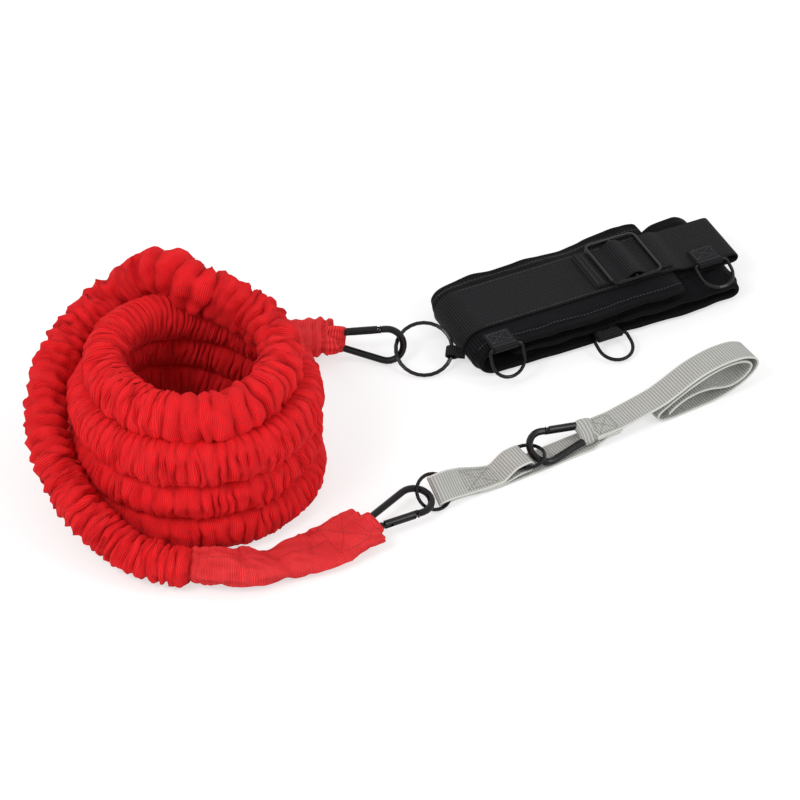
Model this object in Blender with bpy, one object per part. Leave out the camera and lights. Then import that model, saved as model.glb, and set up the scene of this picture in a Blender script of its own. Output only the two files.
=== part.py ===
"""Resistance sprint trainer: an elastic tube in a gathered sleeve, laid in a coil, with a waist belt
clipped to one end and a webbing anchor strap clipped to the other.

Units are metres, +Z is up, and everything lies on the floor at z = 0.
The origin is on the floor, under the middle of the object without its sleeve.
"""

from bisect import bisect_right
from math import asin, cos, pi, radians, sin, tau

import bmesh
import bpy
from mathutils import Euler, Matrix, Vector

# General clearances
GAP = 0.0003
FLOOR_GAP = 0.0003
CUT_OVERRUN = 0.004
WELD_DISTANCE = 0.000001

# Elastic tube and its gathered sleeve
SLEEVE_CREST_RADIUS = 0.0162
SLEEVE_VALLEY_RADIUS = 0.0140
SLEEVE_BORE_RADIUS = 0.0092
TUBE_RADIUS = 0.0063
SLEEVE_RIBS = 190
TUBE_POINT_SPACING = 0.026
ROUTE_STEPS = 6

# Coil: four turns on each other, then a fifth and looser loop round the outside
COIL_CENTRE = (-0.2222, -0.0785)
COIL_TURNS = 4
COIL_RADIUS = 0.082
COIL_TOP_RADIUS = 0.068
COIL_PITCH = 0.0342
COIL_ENTRY_RADIUS = 0.140
ENTRY_MERGE_DEGREES = 110
CLIMB_START_DEGREES = 22
CLIMB_END_DEGREES = 158
POINTS_PER_TURN = 24

# Route of the loose loop after the coil: angle in degrees, radius, height of the middle line
LOOP_ROUTE = (
    (105, 0.090, 0.1420),
    (118, 0.108, 0.1262),
    (130, 0.115, 0.1110),
    (145, 0.119, 0.0980),
    (160, 0.120, 0.0870),
    (180, 0.120, 0.0740),
    (200, 0.121, 0.0590),
    (220, 0.121, 0.0410),
    (238, 0.122, 0.0260),
    (252, 0.124, 0.0180),
)

# Sewn end cuffs: the route of each on the floor plan, from the sleeve to the eye at its end
LOWER_CUFF_ROUTE = ((-0.2262, -0.2055), (-0.1872, -0.2080), (-0.1502, -0.1955), (-0.1192, -0.1795), (-0.0902, -0.1547))
UPPER_CUFF_ROUTE = ((-0.2122, 0.0615), (-0.1852, 0.0625), (-0.1602, 0.0655), (-0.1372, 0.0685), (-0.1192, 0.0685))
CUFF_WIDTH = 0.036
CUFF_WIDTH_SHARES = (0.80, 0.84, 0.96, 1.02, 0.94)
CUFF_HEIGHT_SHARES = (0.90, 0.88, 0.84, 0.70, 0.43)
CUFF_BORE_SHARE = 0.52
CUFF_SIDES = 12
CUFF_STEPS = 14
SEAM_LENGTH = 0.002
TUBE_KNOT_RADIUS = 0.0081
TUBE_KNOT_LENGTH = 0.012
TUBE_END_SHARE = 0.25

# Eyes of bunched fabric that hold a hook or a ring
EYE_THICKNESS = 0.0044
EYE_CLEARANCE = 0.0008
EYE_SEGMENTS = 20
EYE_SIDES = 8
EYE_SEAT = 0.0011

# Snap hooks
HOOK_LENGTH = 0.063
HOOK_WIDTH = 0.032
HOOK_WIRE = 0.0058
HOOK_NARROW_RADIUS = 0.006
HOOK_EAR_THICKNESS = 0.0024
HOOK_EAR_REACH = 0.0024
HOOK_EAR_HALF_HEIGHT = 0.0026
HOOK_PIN_RADIUS = 0.001
HOOK_PIN_SETBACK = 0.0058
HOOK_SHOULDER_SETBACK = 0.0038
HOOK_NOSE_SETBACK = 0.003
HOOK_TONGUE = 0.0045
HOOK_NOSE_PIN_SETBACK = 0.0028
HOOK_STEP_LENGTH = 0.0005
HOOK_NARROW_STEPS = 8
HOOK_WIDE_STEPS = 14
HOOK_SIDES = 10
GATE_RADIUS = 0.0033
GATE_BACK = 0.0022
GATE_HINGE_SLOT = 0.0042
GATE_NOSE_SLOT = 0.0052
GATE_SPRING_RADIUS = 0.0012
GATE_SPRING_WIRE = 0.0003
GATE_SPRING_LENGTH = 0.009
GATE_SPRING_TURNS = 5
GATE_SPRING_POINTS_PER_TURN = 6
GATE_SIDES = 16

# Rings
BACK_RING_RADIUS = 0.0229
BACK_RING_WIRE = 0.0033
STRAP_RING_RADIUS = 0.0144
STRAP_RING_WIRE = 0.0030
RING_SEGMENTS = 26
RING_SIDES = 8

# Upper chain: hook, back ring and belt
UPPER_HOOK_HEIGHT = 0.0185
UPPER_HOOK_ROLL = 63
UPPER_HOOK_PITCH = 4
UPPER_HOOK_HEADING = -6
BACK_RING_REACH = 0.0300
BACK_RING_ROLL = 29

# Lower chain: hook, ring and anchor strap
LOWER_HOOK_HEIGHT = 0.0125
LOWER_HOOK_ROLL = 188
LOWER_HOOK_HEADING = 38
STRAP_RING_REACH = 0.0185
LOWER_RING_OFFSET = 0.0008
LOWER_RING_ROLL = 42

# Anchor strap, measured along its run from the middle of its first ring
STRAP_HEADING = 30.5
STRAP_WIDTH = 0.0245
STRAP_THICKNESS = 0.0015
STRAP_LAYER = 0.00175
STRAP_TWIST = 37
STRAP_TWIST_START = 0.012
STRAP_TWIST_RUN = 0.050
RING_SPACING = 0.086
RING_LOOP_HALF_HEIGHT = 0.0046
RING_LOOP_RUN = 0.020
SEWN_RUN = 0.022
RAISED_LOOP_HEIGHT = 0.0102
RAISED_LOOP_HALF_HEIGHT = 0.0042
RAISED_LOOP_RUN = 0.028
RING_OPENING_SHARES = ((0.333, 0.24), (0.667, 0.59), (1.0, 1.0))
RAISED_UNDER_SHARES = ((0.3, 0.381), (0.5, 0.784), (0.75, 1.0))
RAISED_OVER_SHARES = ((0.74, 0.98), (0.5, 0.88), (0.25, 0.45), (0.0, 0.0))
BRIDGE_LAYERS_SHARE = 1.5
BRIDGE_LEAD = 0.0026
BRIDGE_RISE = 0.0094
UPPER_RING_ROLL = -4
UPPER_RING_PITCH = -4
STRAP_HOOK_ROLL = 151
STRAP_HOOK_PITCH = -2
STRAP_HOOK_OFFSET = 0.0015
STRAP_HOOK_HEIGHT = 0.0102
ROLL_START = 0.2035
ROLL_LENGTH = 0.096
ROLL_HEIGHT = 0.0355
FOLD_STEPS = 6

# Belt, measured along its run from its left fold
BELT_HEADING = 25
BELT_LINK_OFFSET = 0.0169
BELT_LINK_LENGTH = 0.003
PAD_WIDTH = 0.097
PAD_THICKNESS = 0.008
PAD_EDGE_ROUND = 0.0025
PAD_LOWER_GAP = 0.0034
PAD_UPPER_GAP = 0.0030
PAD_LENGTH = 0.244
PAD_TOP_LENGTH = 0.191
PAD_INNER_START = 0.030
WEBBING_WIDTH = 0.054
WEBBING_THICKNESS = 0.0016
WEBBING_OFFSET = -0.004
WEBBING_STEP_DOWN = 0.0028
WEBBING_STEP_RUN = 0.009
WEBBING_BEYOND_PAD = 0.060
WEBBING_RETURN = 0.150
WEBBING_WRAP_DEGREES = 205

# Belt slider and the strap end threaded through it
SLIDER_PLACE = 0.157
SLIDER_LENGTH = 0.048
SLIDER_WIDTH = 0.057
SLIDER_WIRE = 0.0032
SLIDER_CORNER = 0.005
SLIDER_CORNER_STEPS = 4
STRAP_END_WIDTH = 0.046
STRAP_END_THICKNESS = 0.0014
STRAP_END_LEFT = 0.036
STRAP_END_RIGHT = 0.034
STRAP_END_SLOPE = 0.009
STRAP_END_SLOPE_SHARE = 1.2
STRAP_END_RISE_SHARES = (0.0, 0.25, 0.5, 0.75, 1.0)

# D-rings on the belt and the tabs that hold them
D_RING_INNER_WIDTH = 0.026
D_RING_DEPTH = 0.025
D_RING_WIRE = 0.0030
D_RING_ARC_STEPS = 14
TAB_WIDTH = 0.022
TAB_THICKNESS = 0.0012
TAB_RUN = 0.020
TAB_LOOP_STEPS = 8
TAB_LOOP_DEGREES = 150
TAB_NECK_SHARE = 1.5

# Places of the three D-rings along the belt, and tilt of each ring in degrees
FRONT_D_RING_PLACE = 0.021
FRONT_D_RING_TILT = -62
SIDE_D_RING_BEYOND_PAD = 0.031
SIDE_D_RING_TILT = -20
LOWER_D_RING_PLACE = 0.116
LOWER_D_RING_TILT = -15


def clear_scene():
    for item in list(bpy.data.objects):
        bpy.data.objects.remove(item, do_unlink=True)


def make_material(name, colour, roughness, metallic=0.0):
    material = bpy.data.materials.new(name)
    material.use_nodes = True
    shader = material.node_tree.nodes["Principled BSDF"]
    shader.inputs["Base Color"].default_value = (*colour, 1.0)
    shader.inputs["Roughness"].default_value = roughness
    shader.inputs["Metallic"].default_value = metallic
    return material


def make_empty(name, location, rotation, parent=None):
    """A named frame: its place and its heading, pitch and roll."""
    frame = bpy.data.objects.new(name, None)
    frame.location = location
    frame.rotation_euler = rotation
    frame.parent = parent
    bpy.context.scene.collection.objects.link(frame)
    return frame


def place_mesh(name, mesh, material, parent=None, location=(0, 0, 0), rotation=(0, 0, 0)):
    piece = bpy.data.objects.new(name, mesh)
    piece.location = location
    piece.rotation_euler = rotation
    piece.parent = parent
    if not mesh.materials:
        mesh.materials.append(material)
    bpy.context.scene.collection.objects.link(piece)
    mesh.shade_smooth()
    mesh.set_sharp_from_angle(angle=radians(40))
    return piece


def mesh_from(name, points, faces):
    """A closed mesh with its faces pointing out."""
    shape = bmesh.new()
    corners = [shape.verts.new(point) for point in points]
    for face in faces:
        shape.faces.new([corners[index] for index in face])
    bmesh.ops.recalc_face_normals(shape, faces=shape.faces)
    mesh = bpy.data.meshes.new(name)
    shape.to_mesh(mesh)
    shape.free()
    return mesh


def smooth_step(value):
    value = min(max(value, 0.0), 1.0)
    return value * value * (3 - 2 * value)


def mix(low, high, share):
    return low + (high - low) * share


def share_at(shares, place):
    """The value at a place from 0 to 1 along a row of evenly spaced shares."""
    where = min(max(place, 0.0), 1.0) * (len(shares) - 1)
    index = min(int(where), len(shares) - 2)
    return mix(shares[index], shares[index + 1], where - index)


def smooth_curve(points, steps=ROUTE_STEPS):
    """Points on a smooth curve through the route's own points."""
    ends = [points[0] * 2 - points[1], *points, points[-1] * 2 - points[-2]]
    found = []
    for a, b, c, d in zip(ends, ends[1:], ends[2:], ends[3:]):
        for step in range(steps):
            t = step / steps
            bend = (a * 2 - b * 5 + c * 4 - d) * t * t + (b * 3 - a - c * 3 + d) * t * t * t
            found.append((b * 2 + (c - a) * t + bend) / 2)
    return [*found, points[-1]]


def lengths_along(points):
    total = [0.0]
    for a, b in zip(points, points[1:]):
        total.append(total[-1] + (b - a).length)
    return total


def stretch_of(points, start, end, count):
    """Evenly spaced points from one length along a curve to another."""
    along = lengths_along(points)
    found = []
    for number in range(count):
        target = mix(start, end, number / (count - 1))
        index = min(max(bisect_right(along, target) - 1, 0), len(points) - 2)
        share = (target - along[index]) / (along[index + 1] - along[index])
        found.append(points[index].lerp(points[index + 1], share))
    return found


def sweep(points, across, section, scales=None, closed=False):
    """Points and faces of a section carried along a path.

    The section's first axis is the given direction across the path, and its second is square to that.
    """
    count, sides = len(points), len(section)
    places = []
    for index, point in enumerate(points):
        before = points[index - 1] if closed or index else point
        after = points[(index + 1) % count] if closed or index < count - 1 else point
        along = (after - before).normalized()
        first = across[index] if isinstance(across, list) else across
        second = along.cross(first).normalized()
        wide, tall = scales[index] if scales else (1.0, 1.0)
        places += [point + first * (a * wide) + second * (b * tall) for a, b in section]
    faces = []
    for index in range(count if closed else count - 1):
        here, there = index * sides, (index + 1) % count * sides
        for side in range(sides):
            beside = (side + 1) % sides
            faces.append((here + side, here + beside, there + beside, there + side))
    if not closed:
        faces.append(tuple(range(sides)))
        faces.append(tuple(range((count - 1) * sides, count * sides)))
    return places, faces


def round_section(radius, sides):
    return [(radius * cos(tau * n / sides), radius * sin(tau * n / sides)) for n in range(sides)]


def flat_section(width, thickness, edge=0.0):
    """A strap's cross-section, with its corners cut back by the edge where it has one."""
    half_width, half_height = width / 2, thickness / 2
    if not edge:
        return [(-half_width, -half_height), (half_width, -half_height), (half_width, half_height),
                (-half_width, half_height)]
    flat, low = half_width - edge, half_height - edge
    return [(-flat, -half_height), (flat, -half_height), (half_width, -low), (half_width, low),
            (flat, half_height), (-flat, half_height), (-half_width, low), (-half_width, -low)]


def arc(centre_x, centre_z, radius, start, end, steps=FOLD_STEPS):
    """Points on an arc in the plane of a strap's run, angles in degrees."""
    angles = [radians(mix(start, end, n / steps)) for n in range(steps + 1)]
    return [(centre_x + radius * cos(a), centre_z + radius * sin(a)) for a in angles]


def strap_mesh(name, path, section, twist=None):
    """A strap folded along its run: the path is run and height, and the width lies level."""
    across = Vector((0, 1, 0))
    points = [Vector((run, 0, height)) for run, height in path]
    if twist:
        across = []
        for index, (run, height) in enumerate(path):
            angle, lift = twist(run)
            turn = Matrix.Rotation(angle, 3, "X")
            points[index] = turn @ Vector((0, 0, height)) + Vector((run, 0, lift))
            across.append(turn @ Vector((0, 1, 0)))
    return mesh_from(name, *sweep(points, across, section))


def add_boolean(piece, operation, other):
    """Cut with or join to another solid, which stays in the scene as a hidden guide."""
    modifier = piece.modifiers.new(operation.title(), "BOOLEAN")
    modifier.operation = operation
    modifier.solver = "EXACT"
    modifier.object = other
    other.hide_render = True
    other.display_type = "WIRE"


def ring_mesh(name, radius, wire, segments=RING_SEGMENTS, sides=RING_SIDES):
    points = [Vector((radius * cos(tau * n / segments), radius * sin(tau * n / segments), 0)) for n in range(segments)]
    return mesh_from(name, *sweep(points, Vector((0, 0, 1)), round_section(wire / 2, sides), closed=True))


def bar_mesh(name, length, radius, sides=GATE_SIDES):
    """A round bar along X that starts at the origin."""
    points = [Vector((0, 0, 0)), Vector((length, 0, 0))]
    return mesh_from(name, *sweep(points, Vector((0, 0, 1)), round_section(radius, sides)))


def block_mesh(name, low, high):
    points = [Vector((x, y, z)) for x in (low[0], high[0]) for y in (low[1], high[1]) for z in (low[2], high[2])]
    return mesh_from(name, points, [(0, 1, 3, 2), (4, 6, 7, 5), (0, 4, 5, 1), (2, 3, 7, 6), (0, 2, 6, 4), (1, 5, 7, 3)])


# Elastic tube, sleeve and end cuffs


def coil_point(degrees):
    """The middle line of the coil: it stays level round the front and climbs one layer at the back."""
    turned = degrees - 90
    entry = COIL_ENTRY_RADIUS - COIL_RADIUS
    radius = COIL_RADIUS + entry * (1 - smooth_step(turned / ENTRY_MERGE_DEGREES))
    radius -= (COIL_RADIUS - COIL_TOP_RADIUS) * smooth_step((turned - (COIL_TURNS - 1) * 360) / 180 + 0.5)
    layer = (degrees - CLIMB_START_DEGREES) // 360
    climbed = (degrees - CLIMB_START_DEGREES) % 360 / (CLIMB_END_DEGREES - CLIMB_START_DEGREES)
    level = layer - 1 + smooth_step(climbed) if layer else 0
    angle = radians(degrees)
    x = COIL_CENTRE[0] + radius * cos(angle)
    y = COIL_CENTRE[1] + radius * sin(angle)
    return Vector((x, y, SLEEVE_CREST_RADIUS + FLOOR_GAP + COIL_PITCH * level))


def loop_point(degrees, radius, height):
    angle = radians(degrees)
    return Vector((COIL_CENTRE[0] + radius * cos(angle), COIL_CENTRE[1] + radius * sin(angle), height))


def cuff_points(route, end_height):
    base = SLEEVE_CREST_RADIUS + FLOOR_GAP
    last = len(route) - 1
    return [Vector((x, y, mix(base, end_height, (n / last) ** 2))) for n, (x, y) in enumerate(route)]


def tube_route():
    """The whole middle line from the upper eye to the lower one, and where each cuff ends along it."""
    upper = cuff_points(UPPER_CUFF_ROUTE, UPPER_HOOK_HEIGHT)[::-1]
    step = 360 // POINTS_PER_TURN
    coil = [coil_point(90 + step * n) for n in range(1, COIL_TURNS * POINTS_PER_TURN + 1)]
    loop = [loop_point(*place) for place in LOOP_ROUTE]
    lower = cuff_points(LOWER_CUFF_ROUTE, LOWER_HOOK_HEIGHT)
    curve = smooth_curve([*upper, *coil, *loop, *lower])
    along = lengths_along(curve)
    upper_end = along[(len(upper) - 1) * ROUTE_STEPS]
    lower_start = along[len(curve) - 1 - (len(lower) - 1) * ROUTE_STEPS]
    return curve, upper_end, lower_start, along[-1]


def tube_curve(name, points, radii, resolution):
    """A tube along a poly spline with filled caps."""
    curve = bpy.data.curves.new(name, "CURVE")
    curve.dimensions = "3D"
    curve.bevel_depth = radii[0]
    curve.bevel_resolution = resolution
    curve.use_fill_caps = True
    spline = curve.splines.new("POLY")
    spline.points.add(len(points) - 1)
    for spot, point, radius in zip(spline.points, points, radii):
        spot.co = (*point, 1.0)
        spot.radius = radius / radii[0]
    return bpy.data.objects.new(name, curve)


def tube_mesh(name, points, radii, resolution):
    """The same tube as a mesh, so that it can be cut."""
    tube = tube_curve(name, points, radii, resolution)
    bpy.context.scene.collection.objects.link(tube)
    mesh = bpy.data.meshes.new_from_object(tube.evaluated_get(bpy.context.evaluated_depsgraph_get()))
    bpy.data.objects.remove(tube, do_unlink=True)
    shape = bmesh.new()
    shape.from_mesh(mesh)
    bmesh.ops.remove_doubles(shape, verts=shape.verts, dist=WELD_DISTANCE)
    bmesh.ops.recalc_face_normals(shape, faces=shape.faces)
    shape.to_mesh(mesh)
    shape.free()
    return mesh


def least_gap(points, radii):
    """The smallest space between two stretches of the tube that aren't neighbours."""
    along = lengths_along(points)
    reach = 4 * max(radii)
    found = reach
    for i, a in enumerate(points):
        for j in range(i + 1, len(points)):
            if along[j] - along[i] > reach:
                found = min(found, (a - points[j]).length - radii[i] - radii[j])
    return found


def make_sleeve(curve, start, end, material):
    """The gathered sleeve: each gather is a crest and a valley, and the bore is cut out."""
    count = 2 * SLEEVE_RIBS - 1
    points = stretch_of(curve, start + GAP + SEAM_LENGTH, end - GAP - SEAM_LENGTH, count)
    points = [*stretch_of(curve, start + GAP, end - GAP, 2), *points]
    points.append(points.pop(1))
    radii = [SLEEVE_CREST_RADIUS if n % 2 else SLEEVE_VALLEY_RADIUS for n in range(count)]
    radii = [SLEEVE_VALLEY_RADIUS, *radii, SLEEVE_VALLEY_RADIUS]
    sleeve = place_mesh("gathered_sleeve", tube_mesh("gathered_sleeve", points, radii, 2), material)
    steps = int((end - start) / TUBE_POINT_SPACING)
    bore_points = stretch_of(curve, start - CUT_OVERRUN, end + CUT_OVERRUN, steps)
    bore = tube_mesh("sleeve_bore", bore_points, [SLEEVE_BORE_RADIUS] * steps, 1)
    add_boolean(sleeve, "DIFFERENCE", place_mesh("sleeve_bore", bore, material))
    print("Least gap of the sleeve to itself, in mm:", round(1000 * least_gap(points, radii), 2))
    print("Length of the sleeve, in mm:", round(1000 * (end - start)))
    return sleeve


def make_tube(curve, start, end, material):
    """The elastic tube, knotted inside the cuff at each end."""
    steps = int((end - start) / TUBE_POINT_SPACING)
    knot = TUBE_KNOT_LENGTH / 2
    points = stretch_of(curve, start, start + knot, 2)
    points += stretch_of(curve, start + 2 * knot, end - 2 * knot, steps)
    points += stretch_of(curve, end - knot, end, 2)
    radii = [TUBE_KNOT_RADIUS] * 2 + [TUBE_RADIUS] * steps + [TUBE_KNOT_RADIUS] * 2
    return place_mesh("elastic_tube", tube_mesh("elastic_tube", points, radii, 1), material)


def make_cuff(name, curve, start, end, material):
    """A sewn cuff, round at the sleeve and flat at its eye, with a bore for the tube's end."""
    seam = SEAM_LENGTH if end > start else -SEAM_LENGTH
    points = [*stretch_of(curve, start, end, 2)[:1], *stretch_of(curve, start + seam, end, CUFF_STEPS)]
    flat = Vector((0, 0, 1))
    across = []
    scales = []
    for index, point in enumerate(points):
        along = points[min(index + 1, CUFF_STEPS)] - points[max(index - 1, 0)]
        across.append(flat.cross(along).normalized())
        place = index / CUFF_STEPS
        wide = CUFF_WIDTH * share_at(CUFF_WIDTH_SHARES, place) / 2
        scales.append((wide, SLEEVE_CREST_RADIUS * share_at(CUFF_HEIGHT_SHARES, place)))
    mesh = mesh_from(name, *sweep(points, across, round_section(1, CUFF_SIDES), scales))
    cuff = place_mesh(name, mesh, material)
    reach = (end - start) * CUFF_BORE_SHARE
    overrun = CUT_OVERRUN if end > start else -CUT_OVERRUN
    bore_points = stretch_of(curve, start - overrun, start + reach, CUFF_STEPS)
    bore = tube_mesh(name + "_bore", bore_points, [SLEEVE_BORE_RADIUS] * CUFF_STEPS, 2)
    add_boolean(cuff, "DIFFERENCE", place_mesh(name + "_bore", bore, material))
    return cuff


def make_cord(materials):
    curve, upper_end, lower_start, length = tube_route()
    sleeve = make_sleeve(curve, upper_end, lower_start, materials["sleeve"])
    upper = make_cuff("upper_end_cuff", curve, upper_end - GAP, 0.0, materials["cuff"])
    lower = make_cuff("lower_end_cuff", curve, lower_start + GAP, length, materials["cuff"])
    first = upper_end * (1 - TUBE_END_SHARE)
    last = mix(lower_start, length, TUBE_END_SHARE)
    make_tube(curve, first, last, materials["tube"])
    return sleeve, upper, lower


# Snap hooks


def hook_outline():
    """Wide radius, distance between the two ends' centres, and slant of the sides."""
    wide_radius = (HOOK_WIDTH - HOOK_WIRE) / 2
    spread = HOOK_LENGTH - HOOK_WIRE - HOOK_NARROW_RADIUS - wide_radius
    slant = asin((wide_radius - HOOK_NARROW_RADIUS) / spread)
    return wide_radius, spread, slant


def gate_line(distance):
    """A point on the gate's side of the hook, at a distance from the narrow end's arc."""
    slant = hook_outline()[2]
    x = distance * cos(slant) - HOOK_NARROW_RADIUS * sin(slant)
    return Vector((x, HOOK_NARROW_RADIUS * cos(slant) + distance * sin(slant), 0))


def gate_reach():
    """Distance from the hinge pin to the nose's shoulder."""
    spread, slant = hook_outline()[1:]
    return spread * cos(slant) - HOOK_NOSE_SETBACK - HOOK_PIN_SETBACK


def hook_body_mesh():
    wide_radius, spread, slant = hook_outline()
    turn = pi / 2 + slant
    wire = (HOOK_WIRE / 2, HOOK_WIRE / 2)
    ear = (HOOK_EAR_THICKNESS / 2, HOOK_EAR_HALF_HEIGHT)
    shoulder = HOOK_PIN_SETBACK - HOOK_SHOULDER_SETBACK
    nose = HOOK_PIN_SETBACK + gate_reach()
    stops = [
        (gate_line(HOOK_PIN_SETBACK + HOOK_EAR_REACH), ear),
        (gate_line(shoulder + HOOK_STEP_LENGTH), ear),
        (gate_line(shoulder), wire),
    ]
    for n in range(HOOK_NARROW_STEPS + 1):
        angle = mix(turn, tau - turn, n / HOOK_NARROW_STEPS)
        stops.append((HOOK_NARROW_RADIUS * Vector((cos(angle), sin(angle), 0)), wire))
    for n in range(HOOK_WIDE_STEPS + 1):
        angle = mix(-turn, turn, n / HOOK_WIDE_STEPS)
        stops.append((Vector((spread, 0, 0)) + wide_radius * Vector((cos(angle), sin(angle), 0)), wire))
    stops += [
        (gate_line(nose), wire),
        (gate_line(nose - HOOK_STEP_LENGTH), ear),
        (gate_line(nose - HOOK_TONGUE), ear),
    ]
    points, scales = zip(*stops)
    return mesh_from("hook_body", *sweep(list(points), Vector((0, 0, 1)), round_section(1, HOOK_SIDES), scales))


def bake(piece):
    """Keep the piece as its modifiers leave it, and remove the guides that they used."""
    bpy.context.view_layer.update()
    guides = [modifier.object for modifier in piece.modifiers]
    mesh = bpy.data.meshes.new_from_object(piece.evaluated_get(bpy.context.evaluated_depsgraph_get()))
    shape = bmesh.new()
    shape.from_mesh(mesh)
    bmesh.ops.triangulate(shape, faces=shape.faces, ngon_method="EAR_CLIP")
    shape.to_mesh(mesh)
    shape.free()
    piece.modifiers.clear()
    piece.data = mesh
    for guide in guides:
        bpy.data.objects.remove(guide, do_unlink=True)
    mesh.shade_smooth()
    mesh.set_sharp_from_angle(angle=radians(40))
    return mesh


def upright_pin(radius, length, x=0.0):
    """A round pin across the hook's plane, centred on it."""
    points = [Vector((x, 0, -length / 2)), Vector((x, 0, length / 2))]
    return mesh_from("pin", *sweep(points, Vector((1, 0, 0)), round_section(radius, GATE_SIDES)))


def gate_mesh(material):
    """The gate: a bar with a slot at each end, a notch for the nose's pin and a bore for its spring."""
    end = gate_reach() - HOOK_STEP_LENGTH - GAP
    slot = HOOK_EAR_THICKNESS / 2 + GAP
    clear = GATE_RADIUS + CUT_OVERRUN
    pin = HOOK_PIN_RADIUS + GAP
    nose_pin = gate_reach() - HOOK_NOSE_PIN_SETBACK
    back = -GATE_BACK
    gate = place_mesh("gate", bar_mesh("gate", end - back, GATE_RADIUS), material)
    gate.data.transform(Matrix.Translation((back, 0, 0)))
    bore = bar_mesh("bore", GATE_SPRING_LENGTH + CUT_OVERRUN, GATE_SPRING_RADIUS + GATE_SPRING_WIRE + GAP)
    bore.transform(Matrix.Translation((GATE_HINGE_SLOT - GAP, 0, 0)))
    cutters = (
        block_mesh("slot", (back - CUT_OVERRUN, -clear, -slot), (GATE_HINGE_SLOT, clear, slot)),
        block_mesh("slot", (end - GATE_NOSE_SLOT, -clear, -slot), (end + CUT_OVERRUN, clear, slot)),
        block_mesh("notch", (nose_pin - pin, -pin, -clear), (nose_pin + pin, clear, clear)),
        upright_pin(pin, 2 * clear),
        bore,
    )
    for cutter in cutters:
        add_boolean(gate, "DIFFERENCE", place_mesh("gate_cutter", cutter, material))
    mesh = bake(gate)
    bpy.data.objects.remove(gate, do_unlink=True)
    return mesh


def gate_spring_mesh():
    count = GATE_SPRING_TURNS * GATE_SPRING_POINTS_PER_TURN
    points = []
    for n in range(count + 1):
        angle = tau * n / GATE_SPRING_POINTS_PER_TURN
        x = GATE_HINGE_SLOT + GATE_SPRING_WIRE + GATE_SPRING_LENGTH * n / count
        points.append(Vector((x, GATE_SPRING_RADIUS * cos(angle), GATE_SPRING_RADIUS * sin(angle))))
    return tube_mesh("gate_spring", points, [GATE_SPRING_WIRE] * len(points), 0)


def hook_meshes(material):
    """The five meshes that all three snap hooks share."""
    wide = 2 * GATE_RADIUS - GAP
    body = place_mesh("hook_body", hook_body_mesh(), material)
    hinge = upright_pin(HOOK_PIN_RADIUS + GAP, 2 * GATE_RADIUS)
    hinge.transform(Matrix.Translation(gate_line(HOOK_PIN_SETBACK)))
    nose = upright_pin(HOOK_PIN_RADIUS + GAP, 2 * GATE_RADIUS)
    nose.transform(Matrix.Translation(gate_line(HOOK_PIN_SETBACK + gate_reach() - HOOK_NOSE_PIN_SETBACK)))
    add_boolean(body, "DIFFERENCE", place_mesh("pin_cutter", hinge, material))
    add_boolean(body, "DIFFERENCE", place_mesh("pin_cutter", nose, material))
    body_mesh = bake(body)
    bpy.data.objects.remove(body, do_unlink=True)
    return {
        "body": body_mesh,
        "gate": gate_mesh(material),
        "gate_spring": gate_spring_mesh(),
        "hinge_pin": upright_pin(HOOK_PIN_RADIUS, wide),
        "nose_pin": upright_pin(HOOK_PIN_RADIUS, wide, gate_reach() - HOOK_NOSE_PIN_SETBACK),
    }


def make_hook(name, frame, meshes, material):
    """One snap hook: its frame is the centre of its narrow end, with +X towards the wide end."""
    slant = hook_outline()[2]
    gate_axis = make_empty(name + "_gate_axis", gate_line(HOOK_PIN_SETBACK), (0, 0, slant), frame)
    for part, mesh in meshes.items():
        place_mesh(name + "_" + part, mesh, material, frame if part == "body" else gate_axis)


def eye_mesh(name, wire, place):
    """A loop of bunched fabric round a wire that crosses the frame's X axis."""
    radius = wire / 2 + EYE_CLEARANCE + EYE_THICKNESS / 2
    mesh = ring_mesh(name, radius, EYE_THICKNESS, EYE_SEGMENTS, EYE_SIDES)
    mesh.transform(Matrix.Translation((place, 0, 0)) @ Matrix.Rotation(pi / 2, 4, "X"))
    return mesh


def hook_eye_setback():
    """Distance from the end of what holds a hook to the centre of the hook's narrow end."""
    return HOOK_NARROW_RADIUS + HOOK_WIRE / 2 + EYE_SEAT


def join_hook_eye(piece, frame, material):
    eye = eye_mesh("hook_eye", HOOK_WIRE, -HOOK_NARROW_RADIUS)
    add_boolean(piece, "UNION", place_mesh("hook_eye", eye, material, frame))


# Chains of hook and ring


def turned(roll=0, pitch=0, heading=0):
    return Euler((radians(roll), radians(pitch), radians(heading)))


def ahead(place, heading, distance):
    return Vector(place) + distance * Vector((cos(radians(heading)), sin(radians(heading)), 0))


def hook_frame(name, route, height, rotation, heading):
    end = (*route[-1], height)
    return make_empty(name, ahead(end, heading, hook_eye_setback()), rotation)


def make_back_ring(frame, material):
    """The big ring, held by the upper hook. Its frame is the hook's wide end, where it swings."""
    wide_radius, spread = hook_outline()[:2]
    rotation = turned(BACK_RING_ROLL, UPPER_HOOK_PITCH, UPPER_HOOK_HEADING)
    along = rotation.to_matrix() @ Vector((1, 0, 0))
    axis = make_empty("back_ring_axis", frame.location + (spread + wide_radius) * along, rotation)
    mesh = ring_mesh("back_ring", BACK_RING_RADIUS, BACK_RING_WIRE)
    place_mesh("back_ring", mesh, material, axis, (BACK_RING_REACH - wide_radius, 0, 0))
    return axis


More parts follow.
